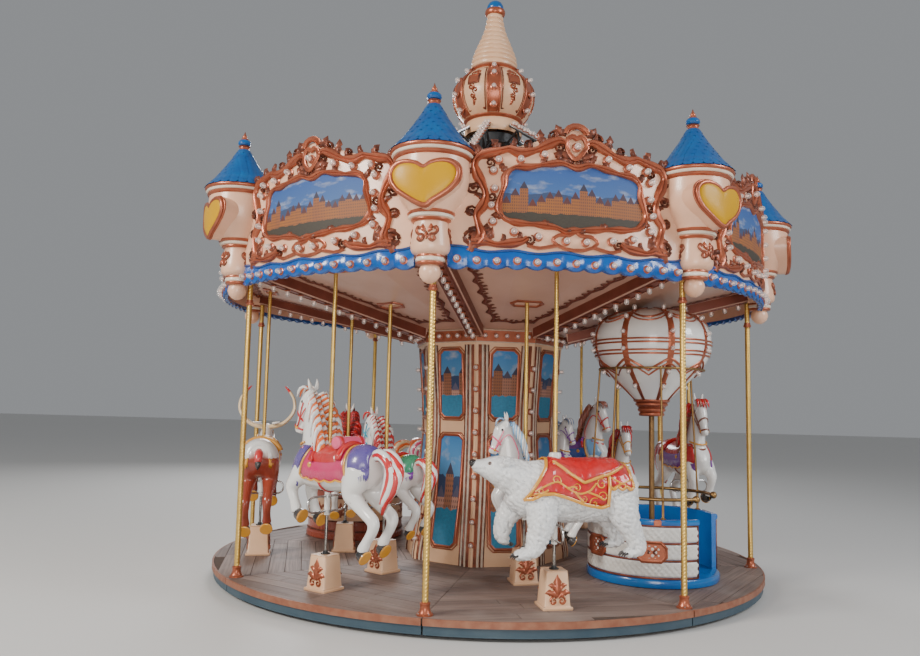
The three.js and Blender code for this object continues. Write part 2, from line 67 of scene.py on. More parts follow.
# Studio floor and lights
# A pale floor, a bright overcast surround, and four large soft lamps: one high on the left, one
# high on the right, one behind and a weak one low in front that opens the shade under the canopy.
class Nodes:
    """Adds nodes to one tree. Each value may be a socket, or a plain number or colour."""

    def __init__(self, tree):
        self.tree = tree

    def feed(self, value, socket):
        if isinstance(value, bpy.types.NodeSocket):
            self.tree.links.new(value, socket)
        else:
            socket.default_value = value

    def add(self, kind, inputs=None, output=0, **settings):
        """A node with its settings and its inputs; the socket of one of its outputs is returned."""
        node = self.tree.nodes.new("ShaderNode" + kind)
        for setting, value in settings.items():
            setattr(node, setting, value)
        for key, value in (inputs or {}).items():
            self.feed(value, node.inputs[key])
        return node.outputs[output]

    def maths(self, operation, first, second=0.5, clamp=False):
        return self.add("Math", {0: first, 1: second}, operation=operation, use_clamp=clamp)

    def plus(self, first, second):
        return self.maths("ADD", first, second)

    def minus(self, first, second):
        return self.maths("SUBTRACT", first, second)

    def times(self, first, second, clamp=False):
        return self.maths("MULTIPLY", first, second, clamp)

    def mix(self, share, first, second):
        """Two colours mixed by a share."""
        first, second = [(*colour, 1) if type(colour) is tuple else colour for colour in (first, second)]
        return self.add("Mix", {0: share, 6: first, 7: second}, 2, data_type="RGBA")

    def place(self):
        return self.add("TexCoord", output="Object")

    def cloudy(self, vector, scale, detail=4.0, stretch=None):
        """A noise texture, stretched along the axes if asked."""
        if stretch:
            vector = self.add("Mapping", {"Vector": vector, "Scale": stretch})
        return self.add("TexNoise", {"Detail": detail, "Vector": vector, "Scale": scale})

    def relief(self, height, strength, distance):
        inputs = {"Strength": strength, "Distance": distance, "Height": height}
        return self.add("Bump", inputs, "Normal")


def new_finish(name):
    """A new material, with its nodes and its shader."""
    made = bpy.data.materials.new(name)
    made.use_nodes = True
    return made, Nodes(made.node_tree), made.node_tree.nodes["Principled BSDF"].inputs


floor_paint, nodes, shader = new_finish("studio_floor")
floor_clouds = nodes.add("TexNoise", {"Scale": 0.8})
nodes.feed(nodes.mix(floor_clouds, (0.60, 0.59, 0.57), (0.66, 0.65, 0.63)), shader["Base Color"])
shader["Roughness"].default_value = 0.6
FLOOR_HALF = 60
floor_mesh = bpy.data.meshes.new("studio_floor")
floor_corners = [(FLOOR_HALF * x, FLOOR_HALF * y, 0) for x, y in ((-1, -1), (1, -1), (1, 1), (-1, 1))]
floor_mesh.from_pydata(floor_corners, [], [(0, 1, 2, 3)])
floor_mesh.materials.append(floor_paint)
studio_floor = bpy.data.objects.new("studio_floor", floor_mesh)
bpy.context.scene.collection.objects.link(studio_floor)

surround = bpy.data.worlds.new("surround")
surround.use_nodes = True
surround.node_tree.nodes["Background"].inputs["Color"].default_value = (0.93, 0.96, 1.0, 1)
surround.node_tree.nodes["Background"].inputs["Strength"].default_value = 0.30
bpy.context.scene.world = surround


def soft_lamp(name, place, aim_height, size, power, colour):
    """A square area lamp at a place, turned to face a point on the carousel's axis."""
    lamp = bpy.data.lights.new(name, "AREA")
    lamp.size = size
    lamp.energy = power
    lamp.color = colour
    holder = bpy.data.objects.new(name, lamp)
    holder.location = place
    holder.rotation_mode = "QUATERNION"
    holder.rotation_quaternion = (Vector((0, 0, aim_height)) - Vector(place)).to_track_quat("-Z", "Y")
    bpy.context.scene.collection.objects.link(holder)


soft_lamp("key_lamp", (-7.5, -9.5, 7.5), 2.2, 3.4, 1420, (1.0, 0.96, 0.90))
soft_lamp("side_lamp", (9.5, -4.0, 6.5), 2.5, 4.0, 640, (0.95, 0.97, 1.0))
soft_lamp("back_lamp", (-5.0, 10.0, 7.0), 2.2, 4.0, 650, (0.97, 0.98, 1.0))
soft_lamp("front_lamp", (2.5, -11.0, 2.2), 1.6, 4.0, 360, (1.0, 0.97, 0.93))


# Deck
# Eight sector frames bolted together, laid with grey-brown composite planks parallel to each
# sector's outer chord. The planks end in mitres on the lines to the posts. A sawn red-brown rim
# board runs round the edge, over a painted steel skirt and a low steel plinth.
SECTIONS = 8
SECTION_DEG = 360 / SECTIONS
HALF_SECTION = math.radians(SECTION_DEG / 2)
DECK_TOP = 0.140
DECK_R = 2.590
RIM_DEEP = 0.048
POST_RING = 2.500


def ring_point(deg, radius, height=0.0):
    """A point at an angle round the axis, from the first post, anticlockwise seen from above."""
    angle = math.radians(deg)
    return Vector((radius * math.sin(angle), -radius * math.cos(angle), height))


def turned_to(deg, radius=0.0, height=0.0):
    """The matrix that puts a shape at a place on the ring: its +Y outwards, its +X clockwise."""
    spin = Matrix.Rotation(math.radians(deg) + math.pi, 4, "Z")
    return Matrix.Translation(ring_point(deg, radius, height)) @ spin


class Form:
    """Points and faces gathered from simple shapes and made into one piece."""

    def __init__(self):
        self.points = []
        self.faces = []

    def add(self, shape, place=None):
        """Adds a shape, placed by a matrix or bent by a function."""
        first = len(self.points)
        points, faces = shape
        if isinstance(place, Matrix):
            self.points += [place @ Vector(p) for p in points]
        else:
            self.points += [place(Vector(p)) if place else Vector(p) for p in points]
        self.faces += [tuple(first + i for i in face) for face in faces]
        return self

    def piece(self, name, material, slot, stands_for=(), body="platform", sharp_deg=35, keep=1.0):
        """Makes the object; below 1, `keep` is the share of its triangles that a thinning leaves."""
        mesh = bpy.data.meshes.new(name)
        mesh.from_pydata([tuple(p) for p in self.points], [], self.faces)
        mesh.materials.append(material)
        mesh.shade_smooth()
        mesh.set_sharp_from_angle(angle=math.radians(sharp_deg))
        made = bpy.data.objects.new(name, mesh)
        bpy.context.scene.collection.objects.link(made)
        if keep < 1:
            made.modifiers.new("thin_out", "DECIMATE").ratio = keep
        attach(made, body)
        if stands_for:
            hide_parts(*stands_for)
        return made


def forms(count):
    return [Form() for _ in range(count)]


def spaced(first, last, steps):
    """Evenly spaced values from the first to the last, with the given number of steps."""
    return [first + (last - first) * k / steps for k in range(steps + 1)]


def net(rows, columns, round_rows=False, round_columns=False, turned_over=False):
    """The faces of a net of points given row by row; a round net joins its last to its first."""
    faces = []
    for j in range(rows if round_rows else rows - 1):
        here, there = j * columns, (j + 1) % rows * columns
        for k in range(columns if round_columns else columns - 1):
            n = (k + 1) % columns
            if turned_over:
                faces.append((here + k, there + k, there + n, here + n))
            else:
                faces.append((here + k, here + n, there + n, there + k))
    return faces


def lathe(profile, sides):
    """A turned shape from (radius, height) points, open or closed as its profile is."""
    points, rows = [], []
    for radius, height in profile:
        if radius < 1e-6:
            rows.append([len(points)] * sides)
            points.append((0, 0, height))
            continue
        rows.append(range(len(points), len(points) + sides))
        for k in range(sides):
            turn = 2 * math.pi * k / sides
            points.append((radius * math.sin(turn), -radius * math.cos(turn), height))
    faces = []
    for low, high in zip(rows, rows[1:]):
        for k in range(sides):
            n = (k + 1) % sides
            corners = list(dict.fromkeys((low[k], low[n], high[n], high[k])))
            if len(corners) > 2:
                faces.append(tuple(corners))
    return points, faces


def stacked(rings):
    """A solid over rings of the same number of points, closed at both ends."""
    count = len(rings[0])
    last = (len(rings) - 1) * count
    faces = net(len(rings), count, round_columns=True)
    faces += [tuple(reversed(range(count))), tuple(range(last, last + count))]
    return [p for ring in rings for p in ring], faces


def prism(outline, low, high):
    """A flat outline in X and Y, run from one height to another, with both ends closed."""
    return stacked([[(x, y, z) for x, y in outline] for z in (low, high)])


def smooth_path(knots, steps, closed=False):
    """A curve through the knots, with the same number of steps between each two."""
    knots = [Vector(k) for k in knots]
    count = len(knots)

    def knot(i):
        return knots[i % count] if closed else knots[min(max(i, 0), count - 1)]

    path = []
    for i in range(count if closed else count - 1):
        a, b, c, d = knot(i - 1), knot(i), knot(i + 1), knot(i + 2)
        for k in range(steps):
            t = k / steps
            square = (2 * a - 5 * b + 4 * c - d) * t**2
            path.append(0.5 * ((2 * b) + (c - a) * t + square + (3 * b - a - 3 * c + d) * t**3))
    if not closed:
        path.append(knots[-1])
    return path


def neighbours(path, i, closed):
    """The points before and after one of a path's points."""
    before = path[i - 1] if closed or i else path[0]
    after = path[(i + 1) % len(path)] if closed or i < len(path) - 1 else path[-1]
    return before, after


def sweep(path, widths, heights, sides, across=(0, 0, 1), closed=False):
    """A tube of oval section along a path; the widths lie along `across`, as nearly as they can."""
    path = [Vector(p) for p in path]
    count = len(path)
    widths = widths if isinstance(widths, list) else [widths] * count
    heights = heights if isinstance(heights, list) else [heights] * count
    across = Vector(across)
    points = []
    for i, centre in enumerate(path):
        before, after = neighbours(path, i, closed)
        along = (after - before).normalized()
        wide = across - along * across.dot(along)
        wide = wide.normalized() if wide.length > 1e-6 else along.orthogonal().normalized()
        deep = along.cross(wide)
        for k in range(sides):
            turn = 2 * math.pi * (k + 0.5) / sides
            points.append(centre + wide * (math.cos(turn) * widths[i]) + deep * (math.sin(turn) * heights[i]))
    faces = net(count, sides, closed, True)
    if not closed:
        faces += [tuple(reversed(range(sides))), tuple(range((count - 1) * sides, count * sides))]
    return points, faces


def build_worn_paint():
    """Paint on moulded plastic or steel: faded patches, dirt and painted shade in the hollows, and a wavy
    skin.
    """
    group = bpy.data.node_groups.new("worn_paint_and_hollow_shade", "ShaderNodeTree")
    colours = {"Paint": (0.8, 0.8, 0.8, 1), "Faded": (0.7, 0.7, 0.7, 1), "Dirt And Shade": (0.2, 0.15, 0.1, 1)}
    numbers = {"Patch Scale": 3.0, "Dirt And Shade Share": 0.5, "Roughness": 0.3}
    for kind, values in (("NodeSocketColor", colours), ("NodeSocketFloat", numbers)):
        for title, value in values.items():
            group.interface.new_socket(title, in_out="INPUT", socket_type=kind).default_value = value
    group.interface.new_socket("Colour", in_out="OUTPUT", socket_type="NodeSocketColor")
    for title in ("Roughness", "Skin"):
        group.interface.new_socket(title, in_out="OUTPUT", socket_type="NodeSocketFloat")
    given = group.nodes.new("NodeGroupInput").outputs
    result = group.nodes.new("NodeGroupOutput").inputs
    nodes = Nodes(group)
    place = nodes.place()
    patches = nodes.cloudy(place, given["Patch Scale"], 6)
    share = nodes.times(nodes.minus(patches, 0.35), 2.2, clamp=True)
    colour = nodes.mix(share, given["Paint"], given["Faded"])
    # Concave hollows darken towards the hollow colour in patches: partly dirt, partly painted shade in the
    # creases.
    edges = nodes.add("NewGeometry", output="Pointiness")
    hollow = nodes.times(nodes.minus(0.497, edges), 14, clamp=True)
    patchy_hollows = nodes.times(nodes.cloudy(place, 22, 5), 1.6)
    dirt_and_shade_mask = nodes.times(nodes.times(hollow, patchy_hollows, clamp=True), given["Dirt And Shade Share"])
    nodes.feed(nodes.mix(dirt_and_shade_mask, colour, given["Dirt And Shade"]), result["Colour"])
    smudge = nodes.minus(nodes.times(nodes.cloudy(place, 9, 5), 0.16), 0.08)
    rough = nodes.plus(nodes.plus(given["Roughness"], smudge), nodes.times(dirt_and_shade_mask, 0.4))
    nodes.feed(rough, result["Roughness"])
    fine_skin = nodes.times(nodes.cloudy(place, 90, 3), 0.12)
    nodes.feed(nodes.plus(nodes.cloudy(place, 5, 2), fine_skin), result["Skin"])
    return group


worn_paint_and_hollow_shade = build_worn_paint()


def painted(name, paint, faded, dirt_and_shade=(0.16, 0.09, 0.06), roughness=0.3, metallic=0.0, coat=0.0,
            patch=3.0, dirt_and_shade_share=0.5, skin=0.25):
    """A painted material made from the worn paint effect, whose hollows darken with dirt and painted shade.
    """
    made, nodes, shader = new_finish(name)
    effect = made.node_tree.nodes.new("ShaderNodeGroup")
    effect.node_tree = worn_paint_and_hollow_shade
    for title, colour in (("Paint", paint), ("Faded", faded), ("Dirt And Shade", dirt_and_shade)):
        effect.inputs[title].default_value = (*colour, 1)
    for title, value in (("Patch Scale", patch), ("Dirt And Shade Share", dirt_and_shade_share), ("Roughness", roughness)):
        effect.inputs[title].default_value = value
    nodes.feed(effect.outputs["Colour"], shader["Base Color"])
    nodes.feed(effect.outputs["Roughness"], shader["Roughness"])
    nodes.feed(nodes.relief(effect.outputs["Skin"], skin, 0.01), shader["Normal"])
    shader["Metallic"].default_value = metallic
    shader["Coat Weight"].default_value = coat
    shader["Coat Roughness"].default_value = 0.12
    return made


def composite_planks():
    """Grey-brown composite boards: each board its own shade, sawn streaks along it, grey scuffs."""
    made, nodes, shader = new_finish("composite_planks")
    each = nodes.add("NewGeometry", output="Random Per Island")
    tint = nodes.mix(each, (0.165, 0.112, 0.092), (0.270, 0.190, 0.158))
    streaks = nodes.cloudy(nodes.add("UVMap", output="UV"), 1.0, 6, stretch=(1.6, 55, 1))
    streak_share = nodes.times(nodes.minus(streaks, 0.42), 2.6, clamp=True)
    colour = nodes.mix(streak_share, tint, (0.12, 0.085, 0.072))
    scuffs = nodes.times(nodes.minus(nodes.cloudy(nodes.place(), 2.4, 8), 0.5), 2.4, clamp=True)
    nodes.feed(nodes.mix(scuffs, colour, (0.32, 0.27, 0.24)), shader["Base Color"])
    nodes.feed(nodes.plus(0.5, nodes.times(streaks, 0.22)), shader["Roughness"])
    nodes.feed(nodes.relief(streaks, 0.5, 0.004), shader["Normal"])
    return made


rim_wood = painted("rim_wood", (0.235, 0.078, 0.040), (0.33, 0.15, 0.085), roughness=0.5, patch=14, skin=0.6)
skirt_paint = painted("skirt_paint", (0.030, 0.062, 0.088), (0.055, 0.09, 0.115), roughness=0.45, patch=5)
seam_black = painted("seam_black", (0.012, 0.011, 0.010), (0.03, 0.028, 0.026), roughness=0.8)
plinth_steel = painted("plinth_steel", (0.035, 0.038, 0.042), (0.07, 0.07, 0.07), roughness=0.6, patch=6)

PLANK_WIDE = 0.138
PLANK_GAP = 0.006
PLANK_THICK = 0.006
PLANK_LONG = 1.25
PLANK_R = DECK_R - 0.012
FIRST_PLANK = 0.55
SHORTEST_PLANK = 0.25
NARROWEST_PLANK = 0.02


def plank_outline(near, far, left, right):
    """The outline of a plank in a sector whose middle line is X, cut by the mitres and the rim."""

    def reach(x):
        to_mitre = x * math.tan(HALF_SECTION) - PLANK_GAP / 2
        return min(to_mitre, math.sqrt(max(PLANK_R**2 - x * x, 0)))

    steps = spaced(near, far, 4)
    upper = [(x, min(right, reach(x))) for x in steps]
    lower = [(x, max(left, -reach(x))) for x in reversed(steps)]
    width = max(y for _, y in upper) - min(y for _, y in lower)
    if width < NARROWEST_PLANK or any(b[1] < a[1] for a, b in zip(reversed(lower), upper)):
        return None
    return upper + lower


plank_draws = random.Random(11)
planks = Form()
plank_grain = []
for section in range(SECTIONS):
    place = Matrix.Rotation(math.radians((section + 0.5) * SECTION_DEG) - math.pi / 2, 4, "Z")
    near = FIRST_PLANK
    while near < PLANK_R:
        far = min(near + PLANK_WIDE - PLANK_GAP, PLANK_R - 1e-4)
        half = far * math.tan(HALF_SECTION)
        cut = -half + plank_draws.uniform(0.2, 1.0) * PLANK_LONG
        ends = [-half]
        while cut < half - SHORTEST_PLANK:
            ends.append(cut)
            cut += PLANK_LONG
        ends.append(half)
        for left, right_end in zip(ends, ends[1:]):
            outline = plank_outline(near, far, left + PLANK_GAP / 2, right_end - PLANK_GAP / 2)
            if outline:
                shift = plank_draws.uniform(0, 9)
                plank_grain += [(y + shift, x + shift) for x, y in outline] * 2
                planks.add(prism(outline, DECK_TOP - PLANK_THICK, DECK_TOP), place)
        near += PLANK_WIDE


def lay_picture(made, layer_name, uvs):
    """Gives a piece its picture coordinates, one pair for each of its points."""
    layer = made.data.uv_layers.new(name=layer_name)
    for loop in made.data.loops:
        layer.data[loop.index].uv = uvs[loop.vertex_index]


deck_planks = planks.piece("deck_planks", composite_planks(), "planks", ["deck"], sharp_deg=20)
lay_picture(deck_planks, "grain", plank_grain)

deck_core, deck_rim, deck_skirt, plinth = forms(4)
CORE_TOP = DECK_TOP - 0.0045
deck_core.add(lathe([(0, CORE_TOP), (PLANK_R, CORE_TOP), (PLANK_R, 0.1), (0, 0.1)], 96))
RIM_SEAM_DEG = 0.14
for section in range(SECTIONS):
    start_deg = section * SECTION_DEG + RIM_SEAM_DEG
    arc = [start_deg + (SECTION_DEG - 2 * RIM_SEAM_DEG) * k / 12 for k in range(13)]
    for form, outer, inner, low, high in (
        (deck_rim, DECK_R, PLANK_R - 0.004, DECK_TOP - RIM_DEEP, DECK_TOP - 0.0005),
        (deck_skirt, DECK_R - 0.016, DECK_R - 0.03, 0.028, DECK_TOP - RIM_DEEP - 0.001),
    ):
        outline = [ring_point(d, outer).xy for d in arc] + [ring_point(d, inner).xy for d in reversed(arc)]
        form.add(prism(outline, low, high))
deck_core.piece("deck_core", seam_black, "planks", ["deck"])
deck_rim.piece("deck_rim", rim_wood, "planks", ["deck"])
deck_skirt.piece("deck_skirt", skirt_paint, "planks", ["deck"])

PLINTH_R, BEARING_R, PLATE_TOP = 2.4, 0.7, 0.02
bearing_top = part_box("base_plinth")[1].z
plinth_line = [(0, 0), (PLINTH_R - 0.004, 0), (PLINTH_R, 0.003), (PLINTH_R, 0.017)]
plinth_line += [(PLINTH_R - 0.004, PLATE_TOP)]
plinth.add(lathe(plinth_line + [(BEARING_R, PLATE_TOP), (BEARING_R, bearing_top), (0, bearing_top)], 64))
plinth.piece("plinth", plinth_steel, "steel", ["base_plinth"], body="base")


# Posts
# Eight barley-twist brass tubes on copper-painted cast feet, bolted through the deck into the
# sector frames. A turned collar holds each tube under its turret.
brass_tube = painted("brass_tube", (0.83, 0.56, 0.16), (0.70, 0.42, 0.10), roughness=0.33, metallic=0.9,
                     patch=18, skin=0.08)
copper_paint = painted("copper_paint", (0.44, 0.125, 0.060), (0.30, 0.076, 0.038), (0.06, 0.018, 0.012),
                       roughness=0.34, metallic=0.55, coat=0.2, patch=9, dirt_and_shade_share=0.9)
bolt_steel = painted("bolt_steel", (0.35, 0.34, 0.33), (0.2, 0.15, 0.12), roughness=0.42, metallic=0.9,
                     patch=60)
POST_TOP = 2.612
POST_TUBE_R = 0.024
BOLT_RING = 0.0515
BOLTS_PER_FOOT = 4


def twisted_tube(radius, strands, pitch, low, high, per_strand=3, step=0.012, depth=0.14):
    """A rope-like tube: round strands that wind round it, one turn for each pitch."""
    sides = strands * per_strand
    rows = max(2, round((high - low) / step))
    points = []
    for z in spaced(low, high, rows):
        for k in range(sides):
            turn = 2 * math.pi * (k / sides + (z - low) / pitch)
            bulge = abs(math.sin(math.pi * k / per_strand))
            r = radius * (1 - depth * (1 - bulge))
            points.append((r * math.sin(turn), -r * math.cos(turn), z))
    return points, net(rows + 1, sides, round_columns=True)


post_foot = [(0.058, 0.1403), (0.058, 0.149), (0.053, 0.153), (0.047, 0.155), (0.044, 0.163), (0.037, 0.176)]
post_foot += [(0.034, 0.194), (0.0345, 0.210), (0.037, 0.214), (0.037, 0.221), (0.031, 0.226), (0.022, 0.229)]
post_collar = [(0.022, 2.375), (0.031, 2.379), (0.036, 2.388), (0.036, 2.398), (0.029, 2.404), (0.029, 2.42)]
post_collar += [(0.022, 2.424)]
foot_bolt = [(0.005, -0.006), (0.005, 0.004), (0.004, 0.006), (0, 0.006)]
for i in range(SECTIONS):
    tube, foot, bolts = forms(3)
    place = turned_to(i * SECTION_DEG, POST_RING)
    tube.add(twisted_tube(POST_TUBE_R, 4, 0.105, 0.226, POST_TOP, per_strand=4, step=0.009), place)
    foot.add(lathe(post_foot, 24), place).add(lathe(post_collar, 24), place)
    for k in range(BOLTS_PER_FOOT):
        turn = math.radians(45 + 90 * k)
        spot = Matrix.Translation((BOLT_RING * math.cos(turn), BOLT_RING * math.sin(turn), 0.153))
        bolts.add(lathe(foot_bolt, 6), place @ spot)
    node = f"post_{i + 1}"
    tube.piece(f"{node}_tube", brass_tube, "gold_tube", [node], sharp_deg=75)
    foot.piece(f"{node}_foot", copper_paint, "copper_paint", [node])
    bolts.piece(f"{node}_bolts", bolt_steel, "steel", [node])


# Lamps
# Clear screw-in bulbs with a pinkish glow in their cores, each in a small copper cup. The bulbs of
# a group are one piece, and so are their cups and their cores. The glass needs no light paths, so
# it renders quickly.
lamp_glass, nodes, shader = new_finish("lamp_glass")
glass_tint = nodes.mix(nodes.cloudy(nodes.place(), 30, 2), (0.62, 0.58, 0.55), (0.90, 0.87, 0.83))
nodes.feed(glass_tint, shader["Base Color"])
facing = nodes.add("LayerWeight", {"Blend": 0.35}, "Facing")
nodes.feed(nodes.maths("ADD", 0.22, nodes.times(facing, 0.78), clamp=True), shader["Alpha"])
shader["Roughness"].default_value = 0.05
shader["Coat Weight"].default_value = 0.6

lamp_core, nodes, shader = new_finish("lamp_core")
glow = nodes.mix(nodes.cloudy(nodes.place(), 120, 1), (0.95, 0.50, 0.38), (1.0, 0.86, 0.74))
nodes.feed(glow, shader["Base Color"])
nodes.feed(glow, shader["Emission Color"])
shader["Emission Strength"].default_value = 0.5
shader["Roughness"].default_value = 0.4

bulb_shape = [(0.008, 0.004), (0.0150, 0.018), (0.016, 0.030), (0.0105, 0.040), (0.0, 0.044)]
core_shape = [(0.0035, 0.010), (0.0055, 0.026), (0.0, 0.034)]
cup_shape = [(0.0225, 0.0), (0.0235, 0.0050), (0.0170, 0.0080), (0.0095, 0.0040), (0.0, 0.0040)]


class Lamps:
    """Bulbs gathered at places with the way each faces, and made into three pieces."""

    def __init__(self):
        self.glass, self.cores, self.cups = forms(3)

    def add(self, spot, facing, scale=1.0):
        turn = Vector(facing).normalized().to_track_quat("Z", "Y").to_matrix().to_4x4()
        place = Matrix.Translation(spot) @ turn @ Matrix.Scale(scale, 4)
        self.glass.add(lathe(bulb_shape, 9), place)
        self.cores.add(lathe(core_shape, 4), place)
        self.cups.add(lathe(cup_shape, 9), place)

    def pieces(self, name, slot="copper_paint", stands_for=()):
        self.glass.piece(f"{name}_glass", lamp_glass, slot, stands_for)
        self.cores.piece(f"{name}_cores", lamp_core, slot, stands_for)
        self.cups.piece(f"{name}_cups", copper_paint, slot, stands_for)


# Centre column
# Eight tall moulded panels, widest at the foot and the head, joined at the corners by flat copper
# strips with a lamp every 200 mm. Grooved white and copper mouldings flank each strip, and every
# panel holds two painted townscapes in copper frames under a copper band with five lamps.
cream_gloss = painted("cream_gloss", (0.76, 0.475, 0.285), (0.66, 0.385, 0.22), (0.26, 0.12, 0.055),
                      roughness=0.34, coat=0.18, patch=4)
strip_white = painted("strip_white", (0.80, 0.70, 0.58), (0.70, 0.55, 0.41), (0.25, 0.12, 0.06),
                      roughness=0.28, coat=0.3, patch=6)
column_line = [(0.82, 0.1403), (0.82, 0.2), (0.72, 0.76), (0.68, 1.24), (0.685, 1.56), (0.735, 2.15)]
column_line += [(0.75, 2.19), (0.75, 2.2897)]
PANEL_COS = math.cos(HALF_SECTION)
PANEL_SIN = math.sin(HALF_SECTION)
STRIP_HALF = 0.048
PICTURE_HALF, PICTURE_CUT = 0.132, 0.045
LAMP_BAND_LOW, LAMP_BAND_HIGH, LAMP_BAND_OUT = 2.170, 2.280, 0.006


def read_line(line, at):
    """What a line of (value, place) points gives at a place, such as a radius at a height."""
    for (low_value, low), (high_value, high) in zip(line, line[1:]):
        if at <= high:
            return low_value + (high_value - low_value) * max(0, (at - low) / max(high - low, 1e-6))
    return line[-1][0]


def on_column(face):
    """Maps (across, out, height) to the panel between two corners of the column."""
    middle = math.radians((face + 0.5) * SECTION_DEG)
    outwards = Vector((math.sin(middle), -math.cos(middle), 0))
    across = Vector((math.cos(middle), math.sin(middle), 0))

    def place(p):
        return across * p.x + outwards * (read_line(column_line, p.z) * PANEL_COS + p.y) + Vector((0, 0, p.z))

    return place


def grid_sheet(columns, rows, place):
    """A sheet from a grid of points; place gives each point from its column and its row."""
    return [place(c, r) for r in rows for c in columns], net(len(rows), len(columns))


ROUND_EDGE = ((-0.5, 0), (-0.46, 0.6), (-0.25, 0.65), (0, 1), (0.25, 0.65), (0.46, 0.6), (0.5, 0))


def band(path, width, height, closed=True):
    """A moulding of rounded section on a surface: the path in (across, 0, height), out along +Y."""
    path = [Vector(p) for p in path]
    points = []
    for i, centre in enumerate(path):
        before, after = neighbours(path, i, closed)
        along = after - before
        side = Vector((along.z, 0, -along.x)).normalized()
        stretch = 1.0
        if closed or 0 < i < len(path) - 1:
            stretch = 1 / max(0.5, abs((centre - before).normalized().dot(along.normalized())))
        for s, h in ROUND_EDGE:
            points.append(centre + side * (s * width * stretch) + Vector((0, h * height, 0)))
    return points, net(len(path), len(ROUND_EDGE), closed)


def chamfered(half, low, high, cut):
    """The outline of a picture: a rectangle with its corners cut, as (across, 0, height) points."""
    corners = [(-half + cut, low), (half - cut, low), (half, low + cut), (half, high - cut)]
    corners += [(half - cut, high), (-half + cut, high), (-half, high - cut), (-half, low + cut)]
    return [(x, 0, z) for x, z in corners]


def filled(outline, steps):
    """More points along a closed outline, so that it can follow a curved surface."""
    full = []
    for a, b in zip(outline, outline[1:] + outline[:1]):
        full += [Vector(a).lerp(Vector(b), k / steps) for k in range(steps)]
    return full


def scenery(name, sky_high, sky_low, wall_tone, roof_tone, ground_tone, horizon, houses):
    """A painted landscape on UV: a sky with clouds, far hills, a row of houses and a foreground."""
    made, nodes, shader = new_finish(name)
    split = made.node_tree.nodes.new("ShaderNodeSeparateXYZ")
    nodes.feed(nodes.add("UVMap", output="UV"), split.inputs[0])
    y = split.outputs["Y"]
    each = nodes.add("NewGeometry", output="Random Per Island")
    shifted = nodes.plus(split.outputs["X"], nodes.times(each, 37.0))
    flat = nodes.add("CombineXYZ", {"X": shifted, "Y": nodes.times(y, 2.2)})
    line = nodes.add("CombineXYZ", {"X": shifted})
    clouds = nodes.times(nodes.minus(nodes.cloudy(flat, 3.2, 7), 0.53), 4, clamp=True)
    picture = nodes.mix(clouds, nodes.mix(y, sky_low, sky_high), (0.36, 0.38, 0.44))
    hill_top = nodes.plus(horizon, nodes.times(nodes.cloudy(line, 2.5, 4), 0.22))
    picture = nodes.mix(nodes.maths("LESS_THAN", y, hill_top), picture, (0.018, 0.045, 0.12))
    plots = nodes.times(shifted, houses)
    draw = nodes.add("TexWhiteNoise", {"W": nodes.maths("FLOOR", plots)}, "Value", noise_dimensions="1D")
    eaves = nodes.plus(horizon - 0.10, nodes.times(draw, 0.30))
    from_middle = nodes.maths("ABSOLUTE", nodes.minus(nodes.maths("FRACT", plots), 0.5))
    ridge = nodes.plus(eaves, nodes.times(nodes.minus(0.5, from_middle), 0.22))
    roof = nodes.mix(draw, roof_tone, (0.016, 0.018, 0.045))
    picture = nodes.mix(nodes.maths("LESS_THAN", y, ridge), picture, roof)
    windows_x = nodes.maths("FRACT", nodes.times(shifted, houses * 4))
    windows_y = nodes.maths("FRACT", nodes.times(y, 22))
    window = nodes.times(nodes.maths("GREATER_THAN", windows_x, 0.55),
                         nodes.maths("GREATER_THAN", windows_y, 0.5))
    wall = nodes.mix(draw, wall_tone, (0.24, 0.075, 0.022))
    wall = nodes.mix(nodes.times(window, 0.7), wall, (0.035, 0.022, 0.030))
    picture = nodes.mix(nodes.maths("LESS_THAN", y, eaves), picture, wall)
    shore = nodes.plus(horizon - 0.22, nodes.times(nodes.cloudy(line, 7, 3), 0.10))
    ground = nodes.mix(nodes.cloudy(flat, 16, 5), ground_tone, tuple(2.2 * part for part in ground_tone))
    picture = nodes.mix(nodes.maths("LESS_THAN", y, shore), picture, ground)
    print_grain = nodes.times(nodes.cloudy(flat, 60, 4), 0.05)
    nodes.feed(nodes.mix(print_grain, picture, (0.92, 0.78, 0.66)), shader["Base Color"])
    shader["Roughness"].default_value = 0.58
    shader["Specular IOR Level"].default_value = 0.3
    return made


column_scenery = scenery("column_scenery", (0.020, 0.17, 0.42), (0.15, 0.38, 0.58), (0.52, 0.27, 0.20),
                         (0.10, 0.09, 0.15), (0.012, 0.12, 0.21), horizon=0.50, houses=5)
column_shell, column_strips, column_ribs, column_frames, column_pictures = forms(5)
column_lamps = Lamps()
column_uvs = []
COLUMN_LOW, COLUMN_HIGH = column_line[0][1], column_line[-1][1]
column_rows = spaced(COLUMN_LOW, COLUMN_HIGH, 44)
shell_line = [(read_line(column_line, z) - 0.004, z) for z in column_rows] + [(0.2, COLUMN_HIGH)]
column_shell.add(lathe(shell_line, SECTIONS))
strip_rows = column_rows[:-3]


def corner_strip(half, front):
    """A flat strip up a corner of the column, with its two edges turned back."""

    def place(c, z):
        return c, read_line(column_line, z) + front - (0.006 if abs(c) == half else 0), z

    return grid_sheet((-half, -half + 0.004, half - 0.004, half), strip_rows, place)


def column_picture(low, high):
    """A picture sheet between two heights that keeps to the cut corners of its frame."""

    def place(c, z):
        return c * (PICTURE_HALF - max(0, PICTURE_CUT - (z - low), PICTURE_CUT - (high - z))), 0.0035, z

    rows = sorted({*spaced(low, high, 10), low + PICTURE_CUT, high - PICTURE_CUT})
    return grid_sheet((-1, 1), rows, place)


